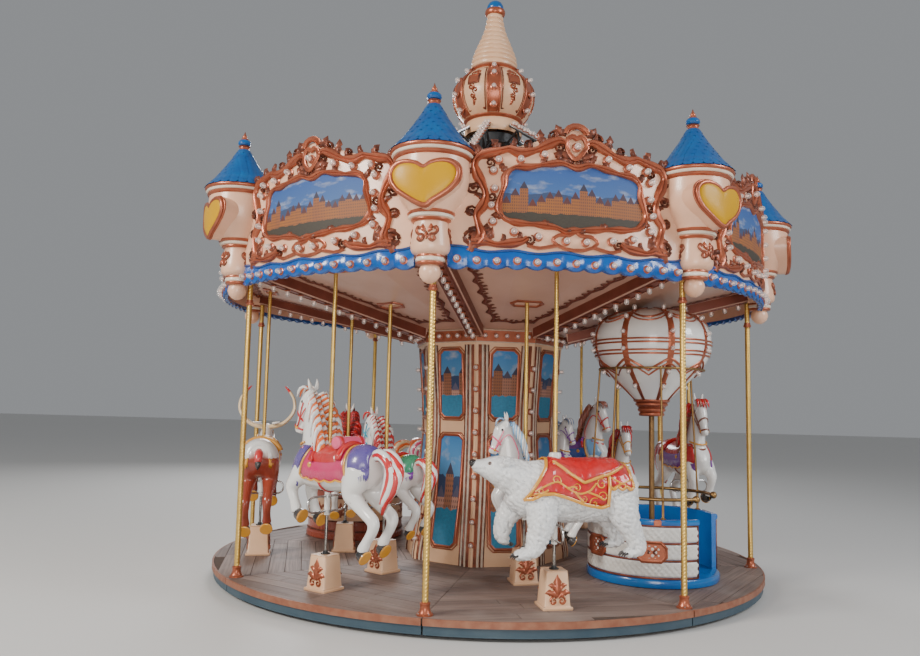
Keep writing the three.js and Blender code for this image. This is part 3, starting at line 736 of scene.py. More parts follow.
for face in range(SECTIONS):
    corner = turned_to(face * SECTION_DEG)
    column_strips.add(corner_strip(STRIP_HALF - 0.012, -0.012), corner)
    column_strips.add(corner_strip(STRIP_HALF, -0.018), corner)
    z = 0.33
    while z < 2.12:
        spot = ring_point(face * SECTION_DEG, read_line(column_line, z) - 0.012, z)
        column_lamps.add(spot, ring_point(face * SECTION_DEG, 1.0), 1.4)
        z += 0.20
    to_panel = on_column(face)
    for side in (-1, 1):
        for form, inset, wide in (
            (column_ribs, 0.064, 0.022), (column_strips, 0.085, 0.016),
            (column_ribs, 0.104, 0.020), (column_strips, 0.120, 0.010),
        ):
            edge = [(side * (read_line(column_line, z) * PANEL_SIN - inset), 0.0, z) for z in strip_rows]
            form.add(sweep(edge, wide / 2, 0.008, 6, across=(1, 0, 0)), to_panel)
    for low, high in ((0.29, 1.30), (1.46, 2.10)):
        for grow, wide, thick in ((0, 0.026, 0.016), (0.022, 0.009, 0.008)):
            cut = PICTURE_CUT + (0.004 if grow else 0)
            outline = filled(chamfered(PICTURE_HALF + grow, low - grow, high + grow, cut), 4)
            column_frames.add(band(outline, wide, thick), to_panel)
        sheet = column_picture(low, high)
        column_pictures.add(sheet, to_panel)
        column_uvs += [((x / PICTURE_HALF + 1) / 2 * 0.6, (z - low) / (high - low)) for x, _, z in sheet[0]]
    half = read_line(column_line, LAMP_BAND_HIGH) * PANEL_SIN - 0.004
    plate = [(side * half, LAMP_BAND_OUT, LAMP_BAND_LOW) for side in (-1, 1)]
    plate += [(side * half, LAMP_BAND_OUT, LAMP_BAND_HIGH) for side in (1, -1)]
    column_strips.add((plate, [(0, 1, 2, 3)]), to_panel)
    for z in (LAMP_BAND_LOW, LAMP_BAND_HIGH):
        rib = [(side * half, LAMP_BAND_OUT, z) for side in (-1, 1)]
        column_ribs.add(sweep(rib, 0.005, 0.006, 6), to_panel)
    for share in (-0.8, -0.4, 0, 0.4, 0.8):
        spot = to_panel(Vector((share * 0.26, 0.007, 2.225)))
        column_lamps.add(spot, ring_point((face + 0.5) * SECTION_DEG, 1.0), 1.3)
column_shell.piece("column_panels", cream_gloss, "cream_moulding", ["centre_column"], sharp_deg=20)
column_strips.piece("column_strips", copper_paint, "copper_paint", ["centre_column"], keep=0.6)
column_ribs.piece("column_ribs", strip_white, "white_moulding", ["centre_column"], keep=0.6)
column_frames.piece("column_frames", copper_paint, "copper_paint", ["centre_column"], keep=0.6)
pictures = column_pictures.piece("column_pictures", column_scenery, "cream_moulding", ["centre_column"])
lay_picture(pictures, "picture", column_uvs)
column_lamps.pieces("column_lamp", stands_for=["centre_column"])


# Ceiling
# A shallow funnel of painted panels on eight beams. The beams are cased in dark copper sheet with
# lamps along the underside; brown scroll borders run beside them, and a copper frame edges the slot
# that each pole works in.
CEILING_SLOPE = 0.243
CEILING_LOW = 2.290
COLUMN_R = 0.750
INNER_ROW, OUTER_ROW = 1.390, 2.190
BEAM_UNDER = 0.094
BEAM_HALF = 0.077
BORDER_CLEAR = 0.175
BORDER_NEAR, BORDER_FAR = 0.93, 2.375
ceiling_paint = painted("ceiling_paint", (0.60, 0.36, 0.265), (0.50, 0.28, 0.20), (0.3, 0.16, 0.1),
                        roughness=0.4, coat=0.15, patch=2.2)
beam_copper = painted("beam_copper", (0.23, 0.062, 0.038), (0.15, 0.040, 0.024), roughness=0.4, metallic=0.45,
                      patch=7)
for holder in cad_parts["ceiling"].material_slots:
    holder.material = ceiling_paint
RIDES = [
    ("horse_1", -25.0, OUTER_ROW, 0.060), ("horse_2", -30.0, INNER_ROW, 0.020),
    ("bear", 22.5, OUTER_ROW, -0.060), ("horse_3", 22.5, INNER_ROW, 0.0),
    ("horse_4", 112.5, OUTER_ROW, 0.060), ("horse_5", 112.5, INNER_ROW, -0.070),
    ("horse_6", 157.5, OUTER_ROW, 0.030), ("horse_7", 157.5, INNER_ROW, -0.020),
    ("horse_8", -157.5, OUTER_ROW, -0.040), ("horse_9", -157.5, INNER_ROW, 0.060),
    ("elk", -69.0, OUTER_ROW, 0.030), ("horse_10", -74.0, INNER_ROW, 0.050),
]


def ceiling_under(r):
    return CEILING_LOW + CEILING_SLOPE * (r - COLUMN_R)


def on_ceiling(deg):
    """Maps (across, out along the radius, down) to the underside of the ceiling."""
    outwards = ring_point(deg, 1.0)
    across = Vector((math.cos(math.radians(deg)), math.sin(math.radians(deg)), 0))

    def place(p):
        spot = outwards * p.y + across * p.x
        return Vector((spot.x, spot.y, ceiling_under(math.hypot(p.x, p.y)) - p.z))

    return place


def scroll(size, turns, width, start, side):
    """A flat spiral with a tapering band: its points run from the outer end to the eye."""
    path, widths = [], []
    for share in spaced(0, 1, 22):
        angle = start + side * share * turns * 2 * math.pi
        r = size * (1 - share) ** 0.75 + size * 0.08
        path.append((r * math.cos(angle), r * math.sin(angle)))
        widths.append(size * width * (0.55 + 0.45 * math.sin(math.pi * min(1, share * 1.4))))
    return path, widths


def flat_scroll(size, at, start, side, turns, width, height):
    """A raised spiral on a surface, in (across, out, height) with the relief along +Y."""
    path, widths = scroll(size, turns, width, start, side)
    points = [(at[0] + x, 0, at[1] + y) for x, y in path]
    return sweep(points, widths, height, 6, across=(0.3, 0, 1))


LEAF_SECTION = ((-1, 0.0), (-0.5, 0.62), (0, 0.42), (0.5, 0.62), (1, 0.0))


def leaf(at, angle, length, width, height=0.02, curl=0.0, steps=8):
    """A pointed acanthus leaf with a ridge and lobed edges, in (across, out, height)."""
    points = []
    x, z = at
    for k in range(steps + 1):
        share = k / steps
        bend = angle + curl * share
        lobe = 1 + 0.30 * math.cos(2 * math.pi * share * 3)
        half = width / 2 * math.sin(math.pi * min(1, 0.12 + 0.88 * share)) ** 0.8 * lobe
        side_x, side_z = -math.sin(bend), math.cos(bend)
        rise = height * math.sin(math.pi * (0.18 + 0.82 * share)) + 0.001
        for s, h in LEAF_SECTION:
            points.append((x + side_x * half * s, rise * (h + 0.38 * (1 - abs(s))), z + side_z * half * s))
        x += length / steps * math.cos(bend)
        z += length / steps * math.sin(bend)
    return points, net(steps + 1, len(LEAF_SECTION))


FOLIAGE_SECTION = ((-0.5, 0), (-0.44, 0.55), (-0.30, 0.95), (-0.12, 0.80), (0.0, 0.45), (0.12, 0.78),
                   (0.30, 1.0), (0.44, 0.6), (0.5, 0))


def foliage(form, place, path, width, height, beat, leaf_long, closed=False, side=1):
    """A carved band with a groove along it, swelling at each beat, and leaves curling off one side."""
    points = []
    travelled = 0.0
    next_leaf = beat * 0.4
    leaves = []
    for i, centre in enumerate(path):
        before, after = neighbours(path, i, closed)
        along = (after - before).normalized()
        travelled += (centre - before).length
        across = Vector((along.z, 0, -along.x))
        swell = 1 + 0.26 * math.sin(2 * math.pi * travelled / beat)
        for s, h in FOLIAGE_SECTION:
            rise = Vector((0, h * height * (0.8 + 0.2 * swell), 0))
            points.append(centre + across * (s * width * swell) + rise)
        if leaf_long and travelled > next_leaf and i < len(path) - 2:
            next_leaf += beat / 2
            way = math.atan2(along.z, along.x) + side * 0.42
            root = (centre - across * (side * width * 0.30)).xz
            leaves.append(leaf(root, way, leaf_long, leaf_long * 0.50, height * 0.95, side * 2.2, 7))
    form.add((points, net(len(path), len(FOLIAGE_SECTION), closed)), place)
    for shape in leaves:
        form.add(shape, place)


def border_line():
    """The wavy line of a ceiling border, round one panel between two beams."""
    ends = []
    for out in (BORDER_NEAR, BORDER_FAR):
        ends.append((out, (out * math.sin(HALF_SECTION) - BORDER_CLEAR) / math.cos(HALF_SECTION)))
    (near, near_half), (far, far_half) = ends
    corners = [(-near_half, near), (-far_half, far), (far_half, far), (near_half, near)]
    corners = [Vector((x, 0, z)) for x, z in corners]
    line = []
    for a, b in zip(corners, corners[1:] + corners[:1]):
        waves = max(1, round((b - a).length / 0.24))
        inwards = Vector(((b - a).z, 0, -(b - a).x)).normalized()
        for share in spaced(0, 1, waves * 8)[:-1]:
            line.append(a.lerp(b, share) + inwards * (0.034 * abs(math.sin(math.pi * waves * share))))
    return line


beam_casing, beam_borders, slot_frames = forms(3)
beam_lamps = Lamps()
BEAM_EDGE = BEAM_UNDER - 0.012
beam_section = [(-BEAM_HALF, 0), (-BEAM_HALF, BEAM_EDGE), (-0.065, BEAM_UNDER), (0.065, BEAM_UNDER)]
beam_section += [(BEAM_HALF, BEAM_EDGE), (BEAM_HALF, 0)]
beam_rows = spaced(0.80, 2.53, 12)
for i in range(SECTIONS):
    to_ceiling = on_ceiling(i * SECTION_DEG)
    to_middle = on_ceiling((i + 0.5) * SECTION_DEG)
    casing = [(x, r, down) for r in beam_rows for x, down in beam_section]
    beam_casing.add((casing, net(len(beam_rows), len(beam_section))), to_ceiling)
    for x in (-0.045, 0.045):
        bead = [(x, r, BEAM_UNDER + 0.001) for r in beam_rows]
        beam_casing.add(sweep(bead, 0.006, 0.004, 6, across=(1, 0, 0)), to_ceiling)
    r = 0.92
    while r < 2.45:
        beam_lamps.add(to_ceiling(Vector((0, r, BEAM_UNDER + 0.001))), (0, 0, -1), 1.35)
        r += 0.125

    def under_panel(p):
        return to_middle(Vector((p.x, p.z, p.y + 0.002)))

    foliage(beam_borders, under_panel, border_line(), 0.034, 0.009, 0.12, 0.060, closed=True, side=-1)
slot_outline = [(-0.135, 0), (-0.10, 0.055), (0.10, 0.055), (0.135, 0), (0.10, -0.055), (-0.10, -0.055)]
slot_points, slot_faces = band(filled([(x, 0, y) for x, y in slot_outline], 3), 0.03, 0.012)
for name, deg, radius, lift in RIDES:
    slot_frames.add(([(x, radius + z, y) for x, y, z in slot_points], slot_faces), on_ceiling(deg))
beam_casing.piece("beam_casings", beam_copper, "copper_paint")
beam_borders.piece("ceiling_borders", beam_copper, "copper_paint", keep=0.35)
slot_frames.piece("slot_frames", copper_paint, "copper_paint")
beam_lamps.pieces("beam_lamp")


# Rounding boards
# Eight moulded cream boards bent round the canopy, with a double-curved head and a crest. Broad
# copper foliage runs round each board, a double copper rim runs round its painted panel, and lamps
# stand in copper cups between the two, with one more in a shield under the looped crest.
BOARD_R = 2.600
BOARD_LOW = 2.560
BOARD_TRIM = 0.121
HALF_ARC = BOARD_R * HALF_SECTION
BOARD_SPAN = 2 * (HALF_ARC - BOARD_TRIM)
BOARD_THICK = 0.030
PANEL_HALF, PANEL_LOW, PANEL_HIGH = 0.53, 2.80, 3.29
CREST_Z = 3.505
EDGE_ROUNDING = {0.985: 0.003, 1.0: 0.010}
board_scenery = scenery("board_scenery", (0.005, 0.062, 0.26), (0.060, 0.150, 0.32), (0.30, 0.098, 0.014),
                        (0.10, 0.016, 0.008), (0.018, 0.015, 0.010), horizon=0.42, houses=9)
board_cream = painted("board_cream", (0.80, 0.480, 0.320), (0.72, 0.395, 0.25), (0.24, 0.09, 0.05),
                      roughness=0.32, coat=0.22, patch=2.6)


def board_head(x):
    """The height of a board's head at a place across it."""
    across = abs(x) / HALF_ARC
    shoulder = 3.395 - 0.080 * max(0, (across - 0.8) / 0.2)
    dip = 0.035 * math.exp(-(((across - 0.55) / 0.12) ** 2))
    return shoulder - dip + 0.150 * math.exp(-((across / 0.26) ** 2))


def on_board(index):
    """Maps (along the board from its middle, out, height) to the face of a board."""
    middle = math.radians((index + 0.5) * SECTION_DEG)

    def place(p):
        angle = middle + p.x / BOARD_R
        r = BOARD_R + p.y
        return Vector((r * math.sin(angle), -r * math.cos(angle), p.z))

    return place


def mirrored(path):
    """A path given from the left edge to the middle, with its mirror image added."""
    return [tuple(p) for p in path] + [(-p[0], *p[1:]) for p in reversed(path) if abs(p[0]) > 1e-6]


def turned_for(side, angle):
    """An angle drawn for the one half, or its mirror image for the other."""
    return angle if side == 1 else math.pi - angle


def smooth_line(points, out, steps, side=1, closed=False):
    """A smooth path over a surface, through points given as (across, height)."""
    return smooth_path([(x * side, out, z) for x, z in points], steps, closed=closed)


outer_frame = [(-0.700, 2.700), (-0.668, 2.760), (-0.690, 2.840), (-0.700, 2.905), (-0.655, 2.975)]
outer_frame += [(-0.640, 3.045), (-0.665, 3.120), (-0.700, 3.185), (-0.722, 3.262), (-0.690, 3.322)]
outer_frame += [(-0.615, 3.345), (-0.540, 3.362), (-0.478, 3.375), (-0.400, 3.352), (-0.300, 3.372)]
outer_frame += [(-0.210, 3.418), (-0.130, 3.452), (-0.078, 3.440)]
foot_frame = [(-0.735, 2.706), (-0.640, 2.712), (-0.560, 2.690), (-0.470, 2.700), (-0.385, 2.716)]
foot_frame += [(-0.345, 2.742)]
foot_heart = [(-0.130, 2.696), (-0.165, 2.735), (-0.120, 2.772), (-0.040, 2.776), (0.0, 2.806)]
foot_line = [(-0.345, 2.690), (-0.270, 2.672), (-0.180, 2.686), (-0.130, 2.696), (-0.070, 2.676)]
foot_line += [(0.0, 2.668)]
inner_frame = [(0.0, 2.812), (-0.075, 2.800), (-0.150, 2.826), (-0.278, 2.840), (-0.401, 2.846)]
inner_frame += [(-0.500, 2.872), (-0.552, 2.940), (-0.540, 3.022), (-0.512, 3.110), (-0.505, 3.185)]
inner_frame += [(-0.442, 3.242), (-0.337, 3.250), (-0.210, 3.276), (-0.105, 3.290), (0.0, 3.262)]
shield = [(0, 3.325), (-0.050, 3.355), (-0.072, 3.410), (-0.066, 3.466), (-0.030, 3.490), (0, 3.476)]
# Each volute has its place, its size, the angle that it starts at and the way it winds.
board_volutes = [
    (-0.740, 2.735, 0.050, 1.0, 1), (-0.758, 3.320, 0.040, 3.4, -1), (-0.612, 3.275, 0.034, 4.2, 1),
    (-0.598, 3.030, 0.032, 2.9, 1), (-0.735, 3.095, 0.038, 0.2, -1), (-0.742, 2.925, 0.036, 0.3, 1),
    (-0.330, 2.728, 0.036, 1.2, -1), (-0.165, 3.480, 0.036, 1.2, 1), (-0.345, 3.412, 0.030, 1.0, 1),
]
# Each leaf has its place, its angle, its length, its width and its curl.
board_leaves = [
    (-0.745, 2.640, 1.1, 0.20, 0.10, 0.6), (-0.690, 2.690, 0.5, 0.17, 0.08, 0.9),
    (-0.600, 2.735, 2.2, 0.12, 0.065, -0.9), (-0.690, 3.330, 2.6, 0.12, 0.075, -0.9),
    (-0.560, 3.365, 1.7, 0.10, 0.06, 1.0), (-0.230, 3.420, 2.2, 0.12, 0.06, -0.8),
    (-0.510, 2.880, 2.6, 0.10, 0.05, 0.8), (-0.500, 3.200, 1.9, 0.10, 0.05, 0.8),
    (-0.180, 2.835, 2.4, 0.08, 0.045, 0.9), (-0.250, 3.270, 1.2, 0.08, 0.045, -0.8),
    (-0.030, 2.790, 2.4, 0.07, 0.04, 0.6), (-0.110, 3.300, 1.9, 0.09, 0.05, 0.9),
]
crest_leaves = [(0.075, 3.500, 1.2, 0.11, 0.060, 0.028, 0.9), (0.040, 3.330, 1.0, 0.13, 0.065, 0.028, -0.8)]
crest_leaves += [(0.020, 3.300, 1.5, 0.12, 0.050, 0.024, 0.6)]
flat_board, flat_copper, flat_picture = forms(3)
board_columns = spaced(-BOARD_SPAN / 2, BOARD_SPAN / 2, 72)
board_rows = [0, 0.2, 0.4, 0.6, 0.8, 0.94, 0.985, 1.0]


def board_face(out, rounding):
    """Gives a board's face at a distance out, with the edge of its head rounded off."""

    def place(x, share):
        z = BOARD_LOW + (board_head(x) - BOARD_LOW) * share
        return x, out + rounding * EDGE_ROUNDING.get(share, 0), z

    return place


flat_board.add(grid_sheet(board_columns, board_rows, board_face(0, -1)))
flat_board.add(grid_sheet(board_columns[::-1], board_rows, board_face(-BOARD_THICK, 1)))
flat_board.add(grid_sheet(board_columns, (0, 1), lambda x, s: (x, -0.010 - s * 0.010, board_head(x))))
for side in (1, -1):
    for knots, wide, long in ((outer_frame, 0.064, 0.088), (foot_frame, 0.058, 0.078)):
        foliage(flat_copper, None, smooth_line(knots, 0.002, 6, side), wide, 0.028, 0.23, long, side=side)
    flat_copper.add(band(smooth_line(foot_heart, 0.002, 6, side), 0.026, 0.018, closed=False))
    for x, z, size, start, way in board_volutes:
        volute = flat_scroll(size, (x * side, z), turned_for(side, start), way * side, 1.4, 0.34, 0.020)
        flat_copper.add(volute)
    for x, z, angle, long, wide, curl in board_leaves:
        flat_copper.add(leaf((x * side, z), turned_for(side, angle), long, wide, 0.026, curl * side))
flat_copper.add(band(smooth_line(mirrored(foot_line), 0.002, 5), 0.026, 0.018, closed=False))
rim = smooth_line(mirrored(inner_frame)[:-1], 0.002, 5, closed=True)
foliage(flat_copper, None, rim, 0.046, 0.022, 0.20, 0, closed=True)
crest = [(0.085 * math.cos(turn), 0.004, CREST_Z + 0.066 * math.sin(turn)) for turn in spaced(0, math.pi, 14)]
flat_copper.add(band(crest, 0.034, 0.026, closed=False))
inner_crest = [(x * 0.70, 0.006, CREST_Z + (z - CREST_Z) * 0.70) for x, _, z in crest]
flat_copper.add(band(inner_crest, 0.014, 0.020, closed=False))
for side in (1, -1):
    for x, z, lean, long, wide, high, curl in crest_leaves:
        flat_copper.add(leaf((x * side, z), math.pi / 2 - lean * side, long, wide, high, curl * side))
    flat_copper.add(flat_scroll(0.034, (0.118 * side, 3.405), turned_for(side, 1.6), -side, 1.4, 0.34, 0.024))
flat_copper.add(band(smooth_line(mirrored(shield)[:-1], 0.006, 5, closed=True), 0.034, 0.026))
for k in range(-3, 4):
    ray = [(0.014 * k, 0.008, 3.322), (0.020 * k, 0.012, 3.285), (0.016 * k, 0.006, 3.262)]
    flat_copper.add(sweep(ray, 0.007, 0.010, 6))
panel_edge = smooth_line(mirrored(inner_frame)[:-1], 0, 5, closed=True)


def panel_heights(x):
    """The heights at which the upright line at x meets the panel's rim, at its foot and its top."""
    hits = []
    for a, b in zip(panel_edge, panel_edge[1:] + panel_edge[:1]):
        if (a.x - x) * (b.x - x) <= 0 and abs(a.x - b.x) > 1e-9:
            hits.append(a.z + (b.z - a.z) * (x - a.x) / (b.x - a.x))
    return min(hits), max(hits)


def panel_point(x, share):
    low, high = panel_heights(x)
    return x, 0.0025, low + (high - low) * share


panel_sheet = grid_sheet(spaced(-PANEL_HALF, PANEL_HALF, 30), spaced(0, 1, 4), panel_point)
flat_picture.add(panel_sheet)
panel_uvs = []
for x, _, z in panel_sheet[0]:
    panel_uvs.append(((x + PANEL_HALF) * 1.8, (z - PANEL_LOW) / (PANEL_HIGH - PANEL_LOW)))
board_bulbs = [(0.590, 3.215), (0.580, 3.085), (0.600, 2.965), (0.588, 2.850), (0.440, 2.780)]
board_bulbs += [(0.270, 2.750), (0.072, 2.728), (0.555, 3.292), (0.400, 3.300), (0.235, 3.340)]
for index in range(SECTIONS):
    node = f"rounding_board_{index + 1}"
    to_board = on_board(index)
    middle_deg = (index + 0.5) * SECTION_DEG
    board, copper, panel = [Form().add((flat.points, flat.faces), to_board)
                            for flat in (flat_board, flat_copper, flat_picture)]
    ring_lamps = Lamps()
    for x, z in board_bulbs:
        for side in (-1, 1):
            facing = ring_point(middle_deg + math.degrees(x * side / BOARD_R), 1)
            ring_lamps.add(to_board(Vector((x * side, 0.001, z))), facing, 1.45)
    ring_lamps.add(to_board(Vector((0, 0.004, 3.410))), ring_point(middle_deg, 1), 1.5)
    board.piece(f"board_{index + 1}_face", board_cream, "cream_moulding", [node], keep=0.5)
    copper.piece(f"board_{index + 1}_scrollwork", copper_paint, "copper_paint", [node], sharp_deg=50,
                 keep=0.42)
    picture = panel.piece(f"board_{index + 1}_picture", board_scenery, "cream_moulding", [node])
    lay_picture(picture, "picture", panel_uvs)
    ring_lamps.pieces(f"board_{index + 1}_lamp", stands_for=[node])


# Valance
# Blue moulded waves hang from the foot of each board, with a raised rib along both edges, small
# ruffled folds between them and a lamp on every fold.
valance_blue = painted("valance_blue", (0.002, 0.072, 0.33), (0.005, 0.110, 0.40), (0.004, 0.015, 0.07),
                       roughness=0.24, coat=0.4, patch=6, dirt_and_shade_share=0.8)
FOLDS = 13
CLOTH_BACK = -0.028


def valance_point(share, row):
    """A point of the blue band, by the share of the way along and of the way up."""
    from_middle = abs(share - 0.5) * 2
    top = 2.642 + 0.040 * max(0, (from_middle - 0.55) / 0.45) ** 1.5 + 0.009 * math.sin(10 * math.pi * share)
    fold = abs(math.sin(math.pi * share * FOLDS))
    low = 2.542 - 0.022 * fold - 0.004 * from_middle
    out = -0.002 + 0.026 * math.sin(math.pi * min(1, 0.15 + row * 0.85)) * (0.35 + 0.65 * fold)
    return (share - 0.5) * BOARD_SPAN, out, low + (top - low) * row


def hem_back(share, row):
    x, _, low = valance_point(share, 0)
    return x, CLOTH_BACK, low + 0.06 * row


def hem_foot(share, row):
    x, _, low = valance_point(share, 0)
    return x, CLOTH_BACK + 0.026 * row, low


valance_steps = spaced(0, 1, 120)
flat_cloth = Form().add(grid_sheet(valance_steps, spaced(0, 1, 7), valance_point))
flat_cloth.add(grid_sheet(valance_steps[::-1], (0, 1), hem_back))
flat_cloth.add(grid_sheet(valance_steps, (0, 1), hem_foot))
for row, thick in ((0.0, 0.006), (1.0, 0.009)):
    rib = [(valance_point(share, row)[0], 0.004, valance_point(share, row)[2]) for share in valance_steps]
    flat_cloth.add(sweep(rib, thick, thick, 6))
for index in range(SECTIONS):
    node = f"rounding_board_{index + 1}"
    to_board = on_board(index)
    fold_lamps = Lamps()
    for k in range(FOLDS):
        x, out, z = valance_point((k + 0.5) / FOLDS, 0.42)
        facing = ring_point((index + 0.5) * SECTION_DEG + math.degrees(x / BOARD_R), 1)
        fold_lamps.add(to_board(Vector((x, out - 0.008, z))), facing, 1.3)
    cloth = Form().add((flat_cloth.points, flat_cloth.faces), to_board)
    cloth.piece(f"valance_{index + 1}", valance_blue, "blue_moulding", [node], keep=0.6)
    fold_lamps.pieces(f"valance_{index + 1}_lamp", stands_for=[node])


# Turrets
# A moulded turret on each post: a cream drop, a copper and white ring, a bell with a carved double
# scroll, a round body with a yellow heart in a copper rim, and a cone of blue scales under a spike.
heart_yellow = painted("heart_yellow", (0.52, 0.27, 0.000), (0.58, 0.31, 0.000), (0.38, 0.17, 0.01),
                       roughness=0.36, coat=0.05, patch=4, dirt_and_shade_share=0.4)
heart_yellow.node_tree.nodes["Principled BSDF"].inputs["Specular IOR Level"].default_value = 0.22
scale_blue = painted("scale_blue", (0.002, 0.075, 0.27), (0.005, 0.115, 0.34), (0.003, 0.02, 0.08),
                     roughness=0.3, coat=0.3, patch=9, dirt_and_shade_share=0.9)
TURRET_RING = 2.612
HEART_Z = 3.060
SCALE_ROWS = 10
SCALE_WIDE = 0.075
turret_body = [(0.0, 2.411), (0.022, 2.414), (0.046, 2.428), (0.068, 2.454), (0.078, 2.484), (0.074, 2.514)]
turret_body += [(0.064, 2.536), (0.098, 2.560), (0.101, 2.608), (0.128, 2.622), (0.138, 2.640)]
turret_body += [(0.141, 2.664), (0.136, 2.712), (0.126, 2.785), (0.119, 2.842), (0.150, 2.866)]
turret_body += [(0.158, 2.905), (0.180, 2.940), (0.210, 2.980), (0.238, 3.028), (0.257, 3.080)]
turret_body += [(0.267, 3.135), (0.269, 3.200), (0.264, 3.262), (0.262, 3.300), (0.262, 3.350), (0.0, 3.352)]
turret_copper = [
    [(0.070, 2.536), (0.092, 2.538), (0.101, 2.546), (0.101, 2.556), (0.094, 2.562)],
    [(0.094, 2.588), (0.102, 2.592), (0.104, 2.602), (0.098, 2.612), (0.110, 2.616)],
    [(0.117, 2.838), (0.136, 2.842), (0.144, 2.850), (0.142, 2.860), (0.134, 2.864)],
    [(0.152, 2.886), (0.166, 2.890), (0.172, 2.899), (0.168, 2.909), (0.156, 2.914)],
    [(0.262, 3.268), (0.276, 3.274), (0.282, 3.286), (0.276, 3.298)],
    [(0.286, 3.318), (0.298, 3.322), (0.303, 3.332), (0.300, 3.343), (0.286, 3.348)],
    [(0.050, 3.690), (0.042, 3.702), (0.040, 3.722), (0.050, 3.730), (0.034, 3.738)],
    [(0.026, 3.790), (0.030, 3.798), (0.019, 3.808), (0.022, 3.818), (0.010, 3.838), (0.0, 3.868)],
]
turret_white = [
    [(0.094, 2.560), (0.103, 2.566), (0.105, 2.576), (0.102, 2.586), (0.094, 2.590)],
    [(0.136, 2.862), (0.160, 2.866), (0.165, 2.876), (0.160, 2.886), (0.150, 2.888)],
    [(0.272, 3.296), (0.286, 3.300), (0.293, 3.310), (0.288, 3.320), (0.276, 3.322)],
]
blue_disc = [(0.026, 3.736), (0.046, 3.742), (0.054, 3.756), (0.052, 3.772), (0.040, 3.786), (0.022, 3.792)]
cone_line = [(0.300, 3.347), (0.262, 3.388), (0.232, 3.418), (0.168, 3.506), (0.104, 3.598), (0.046, 3.700)]
heart_half = [(0, -0.152), (-0.070, -0.116), (-0.155, -0.062), (-0.215, 0.000), (-0.236, 0.058)]
heart_half += [(-0.226, 0.108), (-0.186, 0.142), (-0.125, 0.152), (-0.055, 0.138), (0, 0.108)]
bell_scroll = [(0.050, 2.722), (0.060, 2.704), (0.044, 2.690), (0.024, 2.702), (0.028, 2.732)]
bell_scroll += [(0.062, 2.742), (0.078, 2.768), (0.064, 2.790), (0.048, 2.776)]


def along_line(line, share):
    """A point along a line of (radius, height) points, by share of its height."""
    z = line[0][1] + (line[-1][1] - line[0][1]) * share
    return read_line(line, z), z


def on_turned(line, turned):
    """Maps (across, out, height) to the front of a turned body, wrapped round it and placed."""

    def place(p):
        r = read_line(line, p.z)
        turn = p.x / max(r, 0.02)
        return turned @ Vector(((r + p.y) * math.sin(turn), (r + p.y) * math.cos(turn), p.z))

    return place


def heart_line(scale, out):
    """The outline of a heart, on a shallow curve that follows the round body."""
    points = smooth_line([(x * scale, z * scale) for x, z in mirrored(heart_half)[:-1]], 0, 5, closed=True)
    return [Vector((p.x, 0.262 - 0.55 * p.x * p.x + out, HEART_Z + p.z)) for p in points]


def heart_piece():
    """A domed heart: rings of the outline shrinking to the middle, raised towards it."""
    rings = ((0.97, -0.004), (0.94, 0.006), (0.86, 0.012), (0.7, 0.016), (0.45, 0.019), (0.2, 0.020))
    points = []
    for share, rise in rings:
        points += [p + Vector((0, 0, 0.02 * (1 - share))) for p in heart_line(share, rise)]
    count = len(points) // len(rings)
    faces = net(len(rings), count, round_columns=True)
    return points, [*faces, tuple(range(len(points) - count, len(points)))]


def cone_scale(row, middle, half):
    """One pointed scale of a cone, in its row of scales and at an angle round it."""
    low_r, low_z = along_line(cone_line, row / SCALE_ROWS)
    high_r, high_z = along_line(cone_line, min(1, (row + 1.5) / SCALE_ROWS))
    points = []
    for share, wide, out in ((0, 0.45, 0.005), (0.14, 0.80, 0.005), (0.36, 0.98, 0.004), (1.0, 0.98, 0.000)):
        r = low_r + (high_r - low_r) * share
        z = low_z + (high_z - low_z) * share - 0.003 * (1 - share)
        for s in (-1, -0.5, 0, 0.5, 1):
            turn = middle + half * wide * s
            bulge = out + 0.003 * (1 - s * s)
            points.append(((r + bulge) * math.sin(turn), (r + bulge) * math.cos(turn), z))
    return points, net(4, 5)


